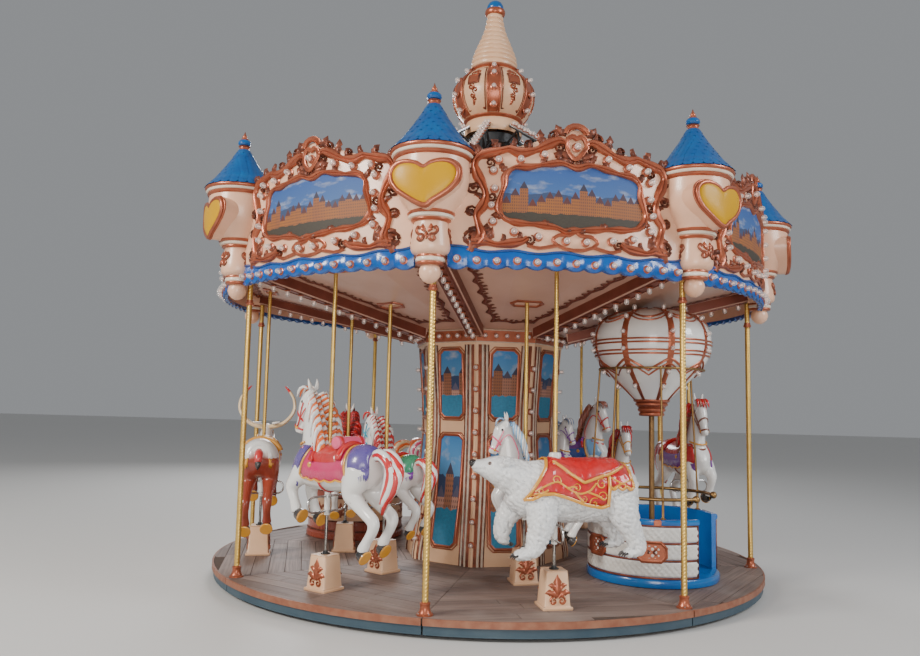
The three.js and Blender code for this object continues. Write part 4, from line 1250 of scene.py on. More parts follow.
for index in range(SECTIONS):
    node = f"turret_{index + 1}"
    place = turned_to(index * SECTION_DEG, TURRET_RING)
    body, copper, heart, blue, rings = forms(5)
    body.add(lathe(turret_body, 44), place)
    for profile in turret_copper:
        copper.add(lathe(profile, 36), place)
    for profile in turret_white:
        rings.add(lathe(profile, 36), place)
    for turn in (0, 120, -120):
        to_bell = on_turned(turret_body, place @ Matrix.Rotation(math.radians(turn), 4, "Z"))
        for side in (1, -1):
            copper.add(band(smooth_line(bell_scroll, 0, 4, side), 0.021, 0.015, closed=False), to_bell)
            root, angle = (0.010 * side, 2.752), math.pi / 2 - 0.75 * side
            copper.add(leaf(root, angle, 0.070, 0.034, 0.018, 1.1 * side), to_bell)
        copper.add(leaf((0, 2.700), math.pi / 2, 0.060, 0.030, 0.016), to_bell)
    for scale, out, thick in ((1.0, 0.002, 0.016), (1.085, -0.010, 0.008)):
        rim = sweep(heart_line(scale, out), thick, thick * 1.1, 8, across=(0, 1, 0), closed=True)
        copper.add(rim, place)
    heart.add(heart_piece(), place)
    front = heart_line(1.09, -0.012)
    rear = [Vector((p.x * 0.94, 0.06, p.z)) for p in front]
    sides = net(2, len(front), round_columns=True)
    body.add((front + rear, [*sides, tuple(range(len(front)))]), place)
    blue.add(lathe([(r - 0.006, z) for r, z in cone_line], 40), place)
    blue.add(lathe(blue_disc, 24), place)
    for row in range(SCALE_ROWS):
        count = max(8, round(2 * math.pi * along_line(cone_line, row / SCALE_ROWS)[0] / SCALE_WIDE))
        for k in range(count):
            blue.add(cone_scale(row, 2 * math.pi * (k + 0.5 * (row % 2)) / count, math.pi / count), place)
    body.piece(f"{node}_body", board_cream, "cream_moulding", [node])
    copper.piece(f"{node}_copper", copper_paint, "copper_paint", [node], sharp_deg=50, keep=0.6)
    heart.piece(f"{node}_heart", heart_yellow, "gold_tube", [node])
    rings.piece(f"{node}_rings", strip_white, "white_moulding", [node])
    blue.piece(f"{node}_scales", scale_blue, "blue_moulding", [node], keep=0.7)


# Crown frame
# A painted steel mast and hub with eight lattice arms down to the turrets. The top boom of each arm
# starts on the crown's base and carries a thin silver channel with two rows of lamps.
frame_steel = painted("frame_steel", (0.020, 0.022, 0.025), (0.05, 0.05, 0.052), (0.12, 0.05, 0.03),
                      roughness=0.5, metallic=0.3, patch=8)
channel_silver = painted("channel_silver", (0.50, 0.51, 0.53), (0.34, 0.34, 0.35), roughness=0.34,
                         metallic=0.9, patch=14)
MAST_TOP = 4.355
UPPER_BOOM = Vector((0, 0.305, 4.405)), Vector((0, 2.17, 3.205))
LOWER_BOOM = Vector((0, 0.240, 4.236)), Vector((0, 2.17, 3.115))
ARM_BAYS = 16
LAMPS_PER_ARM = 20
HUB_BOLTS = 16
boom_fall = UPPER_BOOM[1] - UPPER_BOOM[0]
boom_up = Vector((0, -boom_fall.z, boom_fall.y)).normalized()
arms, channels, mast = forms(3)
arm_lamps = Lamps()
for i in range(SECTIONS):
    place = turned_to(i * SECTION_DEG)
    for start, end in (UPPER_BOOM, LOWER_BOOM):
        for x in (-0.018, 0.018):
            shift = Vector((x, 0, 0))
            arms.add(sweep([start + shift, end + shift], 0.009, 0.009, 4, across=(1, 0, 0)), place)
    for k in range(ARM_BAYS):
        near, far = (UPPER_BOOM, LOWER_BOOM) if k % 2 else (LOWER_BOOM, UPPER_BOOM)
        brace = [near[0].lerp(near[1], k / ARM_BAYS), far[0].lerp(far[1], (k + 1) / ARM_BAYS)]
        arms.add(sweep(brace, 0.016, 0.006, 4, across=(1, 0, 0)), place)
    channel = [end + boom_up * 0.016 for end in UPPER_BOOM]
    channels.add(sweep(channel, 0.038, 0.009, 4, across=(1, 0, 0)), place)
    for k in range(LAMPS_PER_ARM):
        spot = UPPER_BOOM[0].lerp(UPPER_BOOM[1], (k + 0.5) / LAMPS_PER_ARM) + boom_up * 0.022
        for x in (-0.017, 0.017):
            arm_lamps.add(place @ (spot + Vector((x, 0, 0))), place.to_3x3() @ boom_up, 1.0)
mast_line = [(0.11, 2.290), (0.11, 4.238), (0.22, 4.238), (0.252, 4.250), (0.252, 4.345), (0.24, MAST_TOP)]
mast.add(lathe([*mast_line, (0, MAST_TOP)], 40))
hub_bolt = [(0, 4.295), (0.009, 4.297), (0.011, 4.303), (0.011, 4.32)]
for k in range(HUB_BOLTS):
    turn = 2 * math.pi * k / HUB_BOLTS
    mast.add(lathe(hub_bolt, 6), Matrix.Translation((0.246 * math.sin(turn), 0.246 * math.cos(turn), -0.01)))
arms.piece("crown_arms", frame_steel, "steel", ["crown_frame"])
channels.piece("crown_channels", channel_silver, "steel", ["crown_frame"])
mast.piece("crown_mast", frame_steel, "steel", ["crown_frame"])
arm_lamps.pieces("crown_arm_lamp", "steel", ["crown_frame"])


# Crown
# A moulded onion on a cream base, with six broad copper ribs that carry lamps. Each cream gore has
# a copper edge line, a copper block and a hanging scroll, and a ridged bottle-shaped cone stands on
# a copper ring with a copper collar and a blue cap at its top.
CROWN_RIBS = 6
RIB_DEG = 9.5
RIB_STEP = 360 / CROWN_RIBS
RIB_LOW, RIB_HIGH = 4.535, 5.040
CONE_ROWS, CONE_SIDES, CONE_RIDGES = 120, 40, 11
crown_bowl = [(0.292, 4.360), (0.302, 4.376), (0.303, 4.410), (0.290, 4.466), (0.282, 4.500), (0.300, 4.514)]
crown_bowl += [(0.302, 4.530), (0.330, 4.558), (0.372, 4.612), (0.400, 4.675), (0.416, 4.741)]
crown_bowl += [(0.417, 4.800), (0.402, 4.870), (0.368, 4.930), (0.316, 4.985), (0.266, 5.030)]
crown_bowl += [(0.245, 5.046), (0.0, 5.050)]
crown_cone = [(0.234, 5.084), (0.240, 5.140), (0.230, 5.212), (0.204, 5.290), (0.170, 5.372)]
crown_cone += [(0.137, 5.450), (0.111, 5.525), (0.094, 5.600), (0.084, 5.660), (0.080, 5.705)]
crown_rings = [
    [(0.280, 4.498), (0.300, 4.504), (0.310, 4.516), (0.306, 4.530), (0.296, 4.538)],
    [(0.246, 5.036), (0.266, 5.044), (0.274, 5.058), (0.262, 5.072), (0.254, 5.082), (0.236, 5.092)],
    [(0.078, 5.698), (0.100, 5.704), (0.107, 5.720), (0.107, 5.742), (0.100, 5.756), (0.084, 5.762)],
]
crown_cap = [(0.084, 5.760), (0.090, 5.775), (0.084, 5.805), (0.068, 5.835), (0.040, 5.854), (0.0, 5.861)]
# Each small scroll of a gore hangs under the one before: its place, its size and its first angle.
hanging_scrolls = [(0.024, 4.780, 0.030, 2.2), (-0.020, 4.735, 0.028, 5.2), (0.014, 4.690, 0.026, 2.2)]
hanging_scrolls += [(-0.006, 4.650, 0.020, 5.2)]
bowl, cone, copper, cap = forms(4)
crown_lamps = Lamps()
bowl.add(lathe(crown_bowl, 54))
for profile in crown_rings:
    copper.add(lathe(profile, 44))
cap.add(lathe(crown_cap, 32))
points = []
for j in range(CONE_ROWS + 1):
    r, z = along_line(crown_cone, j / CONE_ROWS)
    for k in range(CONE_SIDES):
        turn = 2 * math.pi * k / CONE_SIDES
        wave = (k / CONE_SIDES + CONE_RIDGES * j / CONE_ROWS) % 1
        depth = 0.016 * (1 - abs(2 * wave - 1) ** 3) - 0.012
        points.append(((r + depth) * math.sin(turn), -(r + depth) * math.cos(turn), z))
cone.add((points, net(CONE_ROWS + 1, CONE_SIDES, round_columns=True)))


def rib_half(z):
    """Half the width of a rib, which swells with the bowl."""
    return 0.066 * read_line(crown_bowl, z) / 0.417


rib_rows = spaced(RIB_LOW, RIB_HIGH, 18)
rib_sheet = grid_sheet((1, 0.5, 0, -0.5, -1), rib_rows, lambda s, z: (s * rib_half(z), 0.008, z))
gore_border = []
for side, heights in ((1, rib_rows[1:-1]), (-1, rib_rows[-2:0:-1])):
    for z in heights:
        half = math.pi / CROWN_RIBS * read_line(crown_bowl, z) - rib_half(z) - 0.026
        gore_border.append((side * half, 0.0, z))
gore_block = filled([(-0.052, 0, 4.815), (0.052, 0, 4.815), (0.056, 0, 4.905), (-0.056, 0, 4.905)], 3)
for i in range(CROWN_RIBS):
    spun = turned_to(RIB_DEG + RIB_STEP * i)
    to_rib = on_turned(crown_bowl, spun)
    to_gore = on_turned(crown_bowl, turned_to(RIB_DEG + RIB_STEP * (i + 0.5)))
    copper.add(rib_sheet, to_rib)
    for side in (1, -1):
        edge = [(side * rib_half(z), 0.004, z) for z in rib_rows]
        copper.add(sweep(edge, 0.012, 0.014, 8, across=(1, 0, 0)), to_rib)
    for z in (4.590, 4.745, 4.900, 5.020):
        facing = spun.to_3x3() @ Vector((0, 1, 0.4 * (z - 4.76)))
        crown_lamps.add(to_rib(Vector((0, 0.008, z))), facing, 1.5)
    copper.add(band(gore_border, 0.012, 0.008), to_gore)
    copper.add(band(gore_block, 0.022, 0.022), to_gore)
    copper.add(grid_sheet((0.05, 0, -0.05), (4.818, 4.860, 4.902), lambda x, z: (x, 0.013, z)), to_gore)
    for side in (1, -1):
        top_scroll = flat_scroll(0.026, (0.020 * side, 4.945), turned_for(side, 5.0), side, 1.2, 0.36, 0.014)
        copper.add(top_scroll, to_gore)
    for x, z, size, start in hanging_scrolls:
        copper.add(flat_scroll(size, (x, z), start, 1, 1.2, 0.36, 0.014), to_gore)
    copper.add(leaf((0, 4.650), -math.pi / 2 + 0.2, 0.060, 0.030, 0.014, 0.5), to_gore)
    copper.add(leaf((0, 4.935), math.pi / 2, 0.065, 0.032, 0.014), to_gore)
bowl.piece("crown_bowl", cream_gloss, "cream_moulding", ["crown"])
cone.piece("crown_cone", cream_gloss, "cream_moulding", ["crown"])
copper.piece("crown_copper", copper_paint, "copper_paint", ["crown"], sharp_deg=50, keep=0.6)
cap.piece("crown_cap", scale_blue, "blue_moulding", ["crown"])
crown_lamps.pieces("crown_lamp", stands_for=["crown"])


# Pedestals
# A cast cream pedestal for each animal, screwed to the deck, with a copper leaf on every side. The
# chromed guide rod stands in a black flange on its top, and the animal's sleeve slides on it.
chrome_dark = painted("chrome_dark", (0.30, 0.28, 0.26), (0.18, 0.15, 0.13), roughness=0.22, metallic=1.0,
                      patch=20, skin=0.05)
flange_black = painted("flange_black", (0.014, 0.014, 0.015), (0.035, 0.035, 0.035), roughness=0.45, patch=30)
PEDESTAL_TOP = 0.268
GUIDE_TOP = 0.690
SCREW_RING = 0.140


def square_ring(half, z, corner=0.012, steps=3):
    """A rounded square at a height, as a list of points."""
    ring = []
    for k in range(4):
        for j in range(steps + 1):
            turn = math.pi / 2 * (k + j / steps)
            centre_x = (half - corner) * (1 if k in (0, 3) else -1)
            centre_y = (half - corner) * (1 if k in (0, 1) else -1)
            ring.append((centre_x + corner * math.cos(turn), centre_y + corner * math.sin(turn), z))
    return ring


pedestal_levels = [(0.110, 0.0003), (0.1125, 0.004), (0.1125, 0.016), (0.108, 0.022), (0.100, 0.024)]
pedestal_levels += [(0.0965, 0.030), (0.0815, 0.254), (0.077, 0.260), (0.081, 0.265), (0.0795, PEDESTAL_TOP)]
guide_rod = [(0.0118, PEDESTAL_TOP), (0.0118, 0.686), (0.009, GUIDE_TOP), (0.0, GUIDE_TOP)]
rod_flange = [(0.036, PEDESTAL_TOP), (0.036, 0.276), (0.020, 0.278), (0.018, 0.292), (0.012, 0.294)]
deck_screw = [(0.006, 0.0), (0.006, 0.003), (0.004, 0.005), (0.0, 0.005)]
side_lean = Matrix.Rotation(math.atan((0.097 - 0.080) / (0.268 - 0.02)), 4, "X")
pedestal_cream, pedestal_leaves, pedestal_rods, pedestal_flanges, pedestal_bolts = forms(5)
for _, deg, radius, _ in RIDES:
    place = turned_to(deg, radius, DECK_TOP)
    pedestal_cream.add(stacked([square_ring(half, z) for half, z in pedestal_levels]), place)
    for turn in (0, math.pi):
        side = place @ Matrix.Rotation(turn, 4, "Z") @ Matrix.Translation((0, 0.0975, 0.02)) @ side_lean
        pedestal_leaves.add(leaf((0, 0.078), math.pi / 2, 0.150, 0.062, 0.016), side)
        for way in (1, -1):
            for z, lean, long, wide, high, curl in (
                (0.066, 0.6, 0.105, 0.046, 0.015, -1.5), (0.116, 0.5, 0.082, 0.038, 0.014, -1.3),
            ):
                angle = math.pi / 2 - lean * way
                pedestal_leaves.add(leaf((0.006 * way, z), angle, long, wide, high, curl * way), side)
            curl = flat_scroll(0.027, (0.030 * way, 0.046), turned_for(way, 1.9), -way, 1.2, 0.36, 0.012)
            pedestal_leaves.add(curl, side)
    pedestal_rods.add(lathe(guide_rod, 20), place)
    pedestal_flanges.add(lathe(rod_flange, 24), place)
    for k in range(4):
        turn = math.radians(45 + 90 * k)
        spot = Matrix.Translation((SCREW_RING * math.cos(turn), SCREW_RING * math.sin(turn), 0.020))
        pedestal_bolts.add(lathe(deck_screw, 6), place @ spot)
pedestal_cream.piece("pedestals", cream_gloss, "cream_moulding", ["deck"])
pedestal_leaves.piece("pedestal_leaves", copper_paint, "copper_paint", ["deck"], sharp_deg=50, keep=0.5)
pedestal_rods.piece("pedestal_rods", chrome_dark, "steel", ["deck"])
pedestal_flanges.piece("pedestal_flanges", flange_black, "steel", ["deck"])
pedestal_bolts.piece("pedestal_bolts", bolt_steel, "steel", ["deck"])


# Balloon basket
# A round moulded tub with a blue base, lining and top band, and three white bands woven in
# diamonds between copper lines. Copper plaques sit on the weave and copper clips on the top band.
basket_blue = painted("basket_blue", (0.003, 0.115, 0.40), (0.008, 0.165, 0.46), (0.004, 0.03, 0.09),
                      roughness=0.24, coat=0.5, patch=5)
weave_white = painted("weave_white", (0.76, 0.74, 0.70), (0.66, 0.62, 0.56), (0.22, 0.18, 0.14),
                      roughness=0.35, coat=0.2, patch=7, dirt_and_shade_share=0.9)
CAR_RING = 1.712
CAR_DEG = 67.5
BASKET_R = 0.552
BASKET_OPEN = 54
WEAVE_LOW, WEAVE_HIGH, WEAVE_BANDS = 0.082, 0.494, 3
DIAMOND = 0.052
PLAQUE_Z, CLIP_Z = 0.288, 0.521
basket_half = BASKET_R * math.radians((360 - BASKET_OPEN) / 2) - 0.012
weave_high = (WEAVE_HIGH - WEAVE_LOW) / WEAVE_BANDS


def turned_arc(profile, open_deg, steps=72):
    """A closed (radius, height) outline turned round, but for an opening about +Y, ends capped."""
    first = math.radians(90 + open_deg / 2)
    points = []
    for turn in spaced(first, first + math.radians(360 - open_deg), steps):
        points += [(r * math.cos(turn), r * math.sin(turn), z) for r, z in profile]
    faces = net(steps + 1, len(profile), round_columns=True, turned_over=True)
    faces.append(tuple(range(len(profile))))
    faces.append(tuple(reversed(range(steps * len(profile), len(points)))))
    return points, faces


def round_wall(car_place, radius, out=0.0):
    """Maps (arc length from -Y, out, height) onto the round wall of a car."""

    def place(p):
        r = radius + out + p.y
        return car_place @ Vector((r * math.sin(p.x / radius), -r * math.cos(p.x / radius), p.z))

    return place


def seat_block(radius, front, low, high, edge=0.02):
    """A bench in the inner part of a round car, its front edge straight and its top edge rounded."""
    half = math.sqrt(radius**2 - front**2)
    first, last = math.atan2(-front, -half), math.atan2(-front, half)
    turns = spaced(first, first + (last - first) % (2 * math.pi), 30)
    outline = [(radius * math.cos(turn), radius * math.sin(turn)) for turn in turns]
    middle = -(front + radius) / 2
    rings = []
    for shrink, z in ((0, low), (0, high - edge), (0.3 * edge, high - 0.3 * edge), (edge, high)):
        share = shrink / radius
        rings.append([(x - x * share, y + (middle - y) * share, z) for x, y in outline])
    return stacked(rings)


def woven(x, z):
    """The weave's relief: diamonds that flatten towards the edges of their band."""
    diamond = abs(math.sin(math.pi * (x + z) / DIAMOND)) * abs(math.sin(math.pi * (x - z) / DIAMOND))
    edge = min(1.0, (z - weave_low) / 0.008, (weave_top - z) / 0.008)
    return x, edge * (0.003 + 0.008 * diamond**0.6), z


def plaque(form, x, z, half, high, cut, out, rim):
    """A thin plate with cut corners and a rim, on the basket's wall."""
    outline = filled([(x + a, 0, z + b) for a, _, b in chamfered(half, -high, high, cut)], 2)
    form.add(([Vector((p.x, out, p.z)) for p in outline], [tuple(range(len(outline)))]), to_wall)
    form.add(band([(p.x, rim[0], p.z) for p in outline], *rim[1:]), to_wall)


car = turned_to(CAR_DEG, CAR_RING, DECK_TOP)
to_wall = round_wall(car, BASKET_R, -0.007)
basket, weave, lines, seat = forms(4)
basket_base = [(0.0, 0.0005), (0.545, 0.0005), (0.560, 0.006), (0.564, 0.020), (0.564, 0.056), (0.558, 0.068)]
basket.add(lathe([*basket_base, (0.548, 0.0725), (0.0, 0.0725)], 72), car)
basket_wall = [(0.507, 0.071), (0.543, 0.071), (0.544, 0.497), (0.556, 0.503), (0.560, 0.520)]
basket_wall += [(0.558, 0.538), (0.548, 0.545), (0.515, 0.545), (0.507, 0.538)]
basket.add(turned_arc(basket_wall, BASKET_OPEN), car)
for k in range(WEAVE_BANDS):
    weave_low = WEAVE_LOW + weave_high * k + 0.010
    weave_top = WEAVE_LOW + weave_high * (k + 1) - 0.010
    columns, rows = spaced(-basket_half, basket_half, 330), spaced(weave_low, weave_top, 13)
    weave.add(grid_sheet(columns, rows, woven), to_wall)
for z in spaced(WEAVE_LOW, WEAVE_HIGH, WEAVE_BANDS):
    line = [(x, 0.002, z) for x in spaced(-basket_half, basket_half, 90)]
    lines.add(sweep(line, 0.0085, 0.006, 6), to_wall)
for side in (-1, 1):
    end = [(side * (basket_half + 0.002), 0.002, z) for z in (0.078, 0.2, 0.35, 0.498)]
    lines.add(sweep(end, 0.010, 0.007, 6, across=(1, 0, 0)), to_wall)
for deg in range(-110, 111, 55):
    x = BASKET_R * math.radians(deg)
    plaque(lines, x, PLAQUE_Z, 0.115, 0.075, 0.040, 0.0160, (0.010, 0.026, 0.013))
    for way in (1, -1):
        for turn in (-0.5, 0.5):
            root, angle = (x + 0.006 * way, PLAQUE_Z + 0.004 * turn), math.pi / 2 - (math.pi / 2 + turn) * way
            lines.add(leaf(root, angle, 0.060, 0.026, 0.014, -0.9 * turn), to_wall)
for deg in range(-125, 116, 30):
    plaque(lines, BASKET_R * math.radians(deg), CLIP_Z, 0.026, 0.021, 0.007, 0.0165, (0.012, 0.008, 0.005))
seat.add(seat_block(0.506, 0.121, 0.073, 0.41), car)
basket.piece("basket_tub", basket_blue, "blue_moulding", ["balloon_basket"])
weave.piece("basket_weave", weave_white, "white_moulding", ["balloon_basket"], sharp_deg=60, keep=0.6)
lines.piece("basket_copper", copper_paint, "copper_paint", ["balloon_basket"], sharp_deg=50, keep=0.7)
seat.piece("basket_bench", basket_blue, "blue_moulding", ["balloon_basket"])


# Balloon rail
# A bent brass handrail with ball ends on short pillars, and thin brass stays from it up to the ring
# round the foot of the balloon.
aged_brass = painted("aged_brass", (0.34, 0.20, 0.075), (0.22, 0.12, 0.05), roughness=0.36, metallic=0.9,
                     patch=18, skin=0.1)
RAIL_R, RAIL_Z, RAIL_TUBE = 0.525, 0.705, 0.0145
STAY_RING_R, STAY_RING_Z = 0.452, 1.785


def ring_spot(deg, radius, z):
    turn = math.radians(deg)
    return Vector((radius * math.cos(turn), radius * math.sin(turn), z))


rail_ball = [(0.0, -0.031), (0.012, -0.029), (0.022, -0.022), (0.029, -0.011), (0.031, 0.0)]
rail_ball += [(r, -z) for r, z in reversed(rail_ball[:-1])]
pillar = [(0.024, 0.5455), (0.024, 0.551), (0.014, 0.556), (0.0105, 0.562), (0.0105, 0.690), (0.017, 0.695)]
pillar += [(0.019, 0.705), (0.017, 0.716), (0.009, 0.722)]
rail = Form()
first_deg = 90 + BASKET_OPEN / 2
arc = [ring_spot(deg, RAIL_R, RAIL_Z) for deg in spaced(first_deg, first_deg + 360 - BASKET_OPEN, 60)]
rail.add(sweep(arc, RAIL_TUBE, RAIL_TUBE, 14), car)
for end in (arc[0], arc[-1]):
    rail.add(lathe(rail_ball, 20), car @ Matrix.Translation(end))
stay_ring = [ring_spot(6 * k, STAY_RING_R, STAY_RING_Z) for k in range(60)]
rail.add(sweep(stay_ring, 0.0095, 0.0095, 12, closed=True), car)
for deg in (150, 200, 245, 295, 340, 30):
    top = ring_spot(deg, STAY_RING_R, STAY_RING_Z)
    rail.add(sweep([ring_spot(deg, RAIL_R, RAIL_Z), top], 0.0085, 0.0085, 12, across=(0, 0.1, 1)), car)
    rail.add(lathe(pillar, 16), car @ Matrix.Translation(ring_spot(deg, RAIL_R, 0)))
    tie = [(0.0, -0.016), (0.010, -0.013), (0.014, 0.0), (0.010, 0.013), (0.0, 0.016)]
    rail.add(lathe(tie, 14), car @ Matrix.Translation(top))
rail.piece("rail_brass", aged_brass, "gold_tube", ["balloon_rail"])


# Balloon
# A white moulded envelope of eight bulging gores with flat copper ribs and lamps, a swagged copper
# band near the top, two bands round the middle and chevrons below, on a stepped cup and a brass mast.
gloss_white = painted("gloss_white", (0.80, 0.79, 0.76), (0.74, 0.71, 0.67), (0.30, 0.22, 0.16),
                      roughness=0.16, coat=0.7, patch=3)
GORES = 8
FIRST_RIB = math.radians(39.3)
balloon_line = [(0.150, 1.515), (0.235, 1.602), (0.330, 1.690), (0.425, 1.785), (0.465, 1.838)]
balloon_line += [(0.495, 1.900), (0.512, 1.960), (0.518, 2.010), (0.516, 2.070), (0.506, 2.125)]
balloon_line += [(0.482, 2.178), (0.445, 2.220), (0.395, 2.254), (0.320, 2.285), (0.230, 2.311)]
balloon_line += [(0.110, 2.333), (0.0, 2.341)]


def on_balloon(turn, z, out=0.0):
    """A point on the balloon, with its gores bulging between the ribs."""
    bulge = 0.972 + 0.026 * abs(math.sin(GORES / 2 * (turn - FIRST_RIB))) ** 0.7
    r = read_line(balloon_line, z) * bulge + out
    return Vector((r * math.sin(turn), -r * math.cos(turn), z))


def draped(z, drop, thick, sharp=False):
    """A copper line round the balloon that hangs in swags, or in points, between the ribs."""
    line = []
    for k in range(GORES * 10):
        share = (k / 10) % 1
        fall = 1 - abs(2 * share - 1) if sharp else math.sin(math.pi * share)
        line.append(on_balloon(FIRST_RIB + 2 * math.pi * k / (GORES * 10), z - drop * fall, 0.003))
    return sweep(line, thick, thick * 0.75, 6, closed=True)


fine_line = smooth_path([(r, 0, z) for r, z in balloon_line], 4)
envelope, ribs, mast_form = forms(3)
balloon_lamps = Lamps()
sides = GORES * 14
points = []
for p in fine_line:
    points += [on_balloon(FIRST_RIB + 2 * math.pi * k / sides, min(p.z, 2.3405)) for k in range(sides)]
envelope.add((points, net(len(fine_line), sides, round_columns=True)), car)
for k in range(GORES):
    turn = FIRST_RIB + 2 * math.pi * k / GORES
    outwards = Vector((math.sin(turn), -math.cos(turn), 0))
    rib = [on_balloon(turn, min(p.z, 2.335), 0.001) for p in fine_line[:-3]]
    wide = [0.008 + 0.023 * read_line(balloon_line, p.z) / 0.518 for p in rib]
    ribs.add(sweep(rib, wide, 0.009, 8, across=Vector((0, 0, 1)).cross(outwards)), car)
    for z in (1.66, 1.78, 1.955, 2.085, 2.205, 2.285):
        slope = (read_line(balloon_line, z - 0.01) - read_line(balloon_line, z + 0.01)) / 0.02
        facing = (outwards + Vector((0, 0, slope))).normalized()
        balloon_lamps.add(car @ (on_balloon(turn, z) + facing * 0.006), car.to_3x3() @ facing, 1.25)
for z in (1.905, 1.935, 2.000, 2.030):
    ring = [on_balloon(math.radians(3 * k), z, 0.002) for k in range(120)]
    ribs.add(sweep(ring, 0.009, 0.007, 6, closed=True), car)
for z, drop, thick, sharp in (
    (2.275, 0.060, 0.012, False), (2.245, 0.060, 0.008, False),
    (1.870, 0.105, 0.012, True), (1.832, 0.105, 0.009, True),
):
    ribs.add(draped(z, drop, thick, sharp), car)
cup = [(0.060, 1.376), (0.104, 1.378), (0.112, 1.388), (0.110, 1.404), (0.100, 1.408), (0.106, 1.414)]
cup += [(0.120, 1.424), (0.122, 1.440), (0.112, 1.446), (0.130, 1.468), (0.140, 1.474), (0.142, 1.488)]
cup += [(0.134, 1.494), (0.156, 1.506), (0.160, 1.518), (0.156, 1.528), (0.145, 1.530)]
ribs.add(lathe(cup, 40), car)
mast_line = [(0.055, 0.073), (0.055, 0.082), (0.030, 0.086), (0.024, 0.092), (0.024, 1.377), (0.06, 1.378)]
mast_form.add(lathe(mast_line, 24), car)
envelope.piece("balloon_envelope", gloss_white, "white_moulding", ["balloon"], sharp_deg=60, keep=0.7)
ribs.piece("balloon_copper", copper_paint, "copper_paint", ["balloon"], sharp_deg=50, keep=0.6)
mast_form.piece("balloon_mast", aged_brass, "gold_tube", ["balloon"])
balloon_lamps.pieces("balloon_lamp", stands_for=["balloon"])


# Tub car
# The low round car on the far side: a red-brown moulded tub with copper lines, a cream band of
# palm leaves and a blue bench.
tub_brown = painted("tub_brown", (0.30, 0.055, 0.030), (0.38, 0.09, 0.05), (0.06, 0.02, 0.01), roughness=0.28,
                    coat=0.4, patch=5)
TUB_R, TUB_OPEN = 0.520, 80
PALM_STEP = 0.27
tub_place = turned_to(CAR_DEG - 180, CAR_RING, DECK_TOP)
to_tub = round_wall(tub_place, TUB_R)
tub_half = TUB_R * math.radians((360 - TUB_OPEN) / 2) - 0.01
tub_steps = spaced(-tub_half, tub_half, 80)
tub_form, tub_trim, tub_band, tub_seat = forms(4)
tub_base = [(0.0, 0.0005), (0.520, 0.0005), (0.530, 0.010), (0.532, 0.058), (0.522, 0.070), (0.0, 0.0725)]
tub_form.add(lathe(tub_base, 64), tub_place)
tub_wall = [(0.475, 0.071), (0.516, 0.071), (0.519, 0.530), (0.527, 0.538), (0.527, 0.555), (0.520, 0.5595)]
tub_form.add(turned_arc([*tub_wall, (0.482, 0.5595), (0.475, 0.552)], TUB_OPEN), tub_place)


def tub_band_point(x, z):
    return x, 0.002 if 0.202 < z < 0.428 else -0.004, z


tub_band.add(grid_sheet(tub_steps, (0.20, 0.204, 0.426, 0.43), tub_band_point), to_tub)
for z in (0.092, 0.195, 0.435, 0.512):
    tub_trim.add(sweep([(x, 0.001, z) for x in tub_steps], 0.009, 0.006, 6), to_tub)
x = -tub_half + 0.12
while x < tub_half - 0.08:
    for way in (1, -1):
        for z, out, long in ((0.262, 1.15, 0.115), (0.300, 0.62, 0.105)):
            side_leaf = leaf((x + 0.006 * way, z), math.pi / 2 - out * way, long, 0.040, 0.007, -0.7 * way)
            tub_trim.add(side_leaf, to_tub)
    tub_trim.add(leaf((x, 0.235), math.pi / 2, 0.17, 0.05, 0.008), to_tub)
    x += PALM_STEP
tub_seat.add(seat_block(0.474, 0.15, 0.073, 0.40), tub_place)
tub_form.piece("tub_shell", tub_brown, "tub_paint", ["tub_car"])
tub_trim.piece("tub_copper", copper_paint, "copper_paint", ["tub_car"], sharp_deg=50)
tub_band.piece("tub_band", cream_gloss, "cream_moulding", ["tub_car"])
tub_seat.piece("tub_bench", basket_blue, "blue_moulding", ["tub_car"])


# Poles and foot hoops
# Each animal hangs on a twisted brass pole that runs up through its slot in the ceiling. A white
# sleeve under the belly slides on the guide rod and carries the chromed hoop for the feet.
chrome = painted("chrome", (0.66, 0.65, 0.64), (0.46, 0.44, 0.42), roughness=0.12, metallic=1.0, patch=12,
                 skin=0.04)
sleeve_white = painted("sleeve_white", (0.78, 0.76, 0.72), (0.64, 0.60, 0.54), roughness=0.25, coat=0.4,
                       patch=14)
SLEEVE_LOW, SLEEVE_TOP = 0.505, 0.760
HOOP_Z, HOOP_LONG, HOOP_HIGH, HOOP_ROOT = 0.590, 0.205, 0.058, 0.0200
POLE_OVER_CEILING = 0.130


def ride_piece(form, ride, part, material, slot="white_moulding", sharp_deg=35, keep=1.0):
    """Makes a piece of one animal, which moves with that animal."""
    return form.piece(f"{ride}_{part}", material, slot, [ride], f"{ride}_body", sharp_deg, keep)


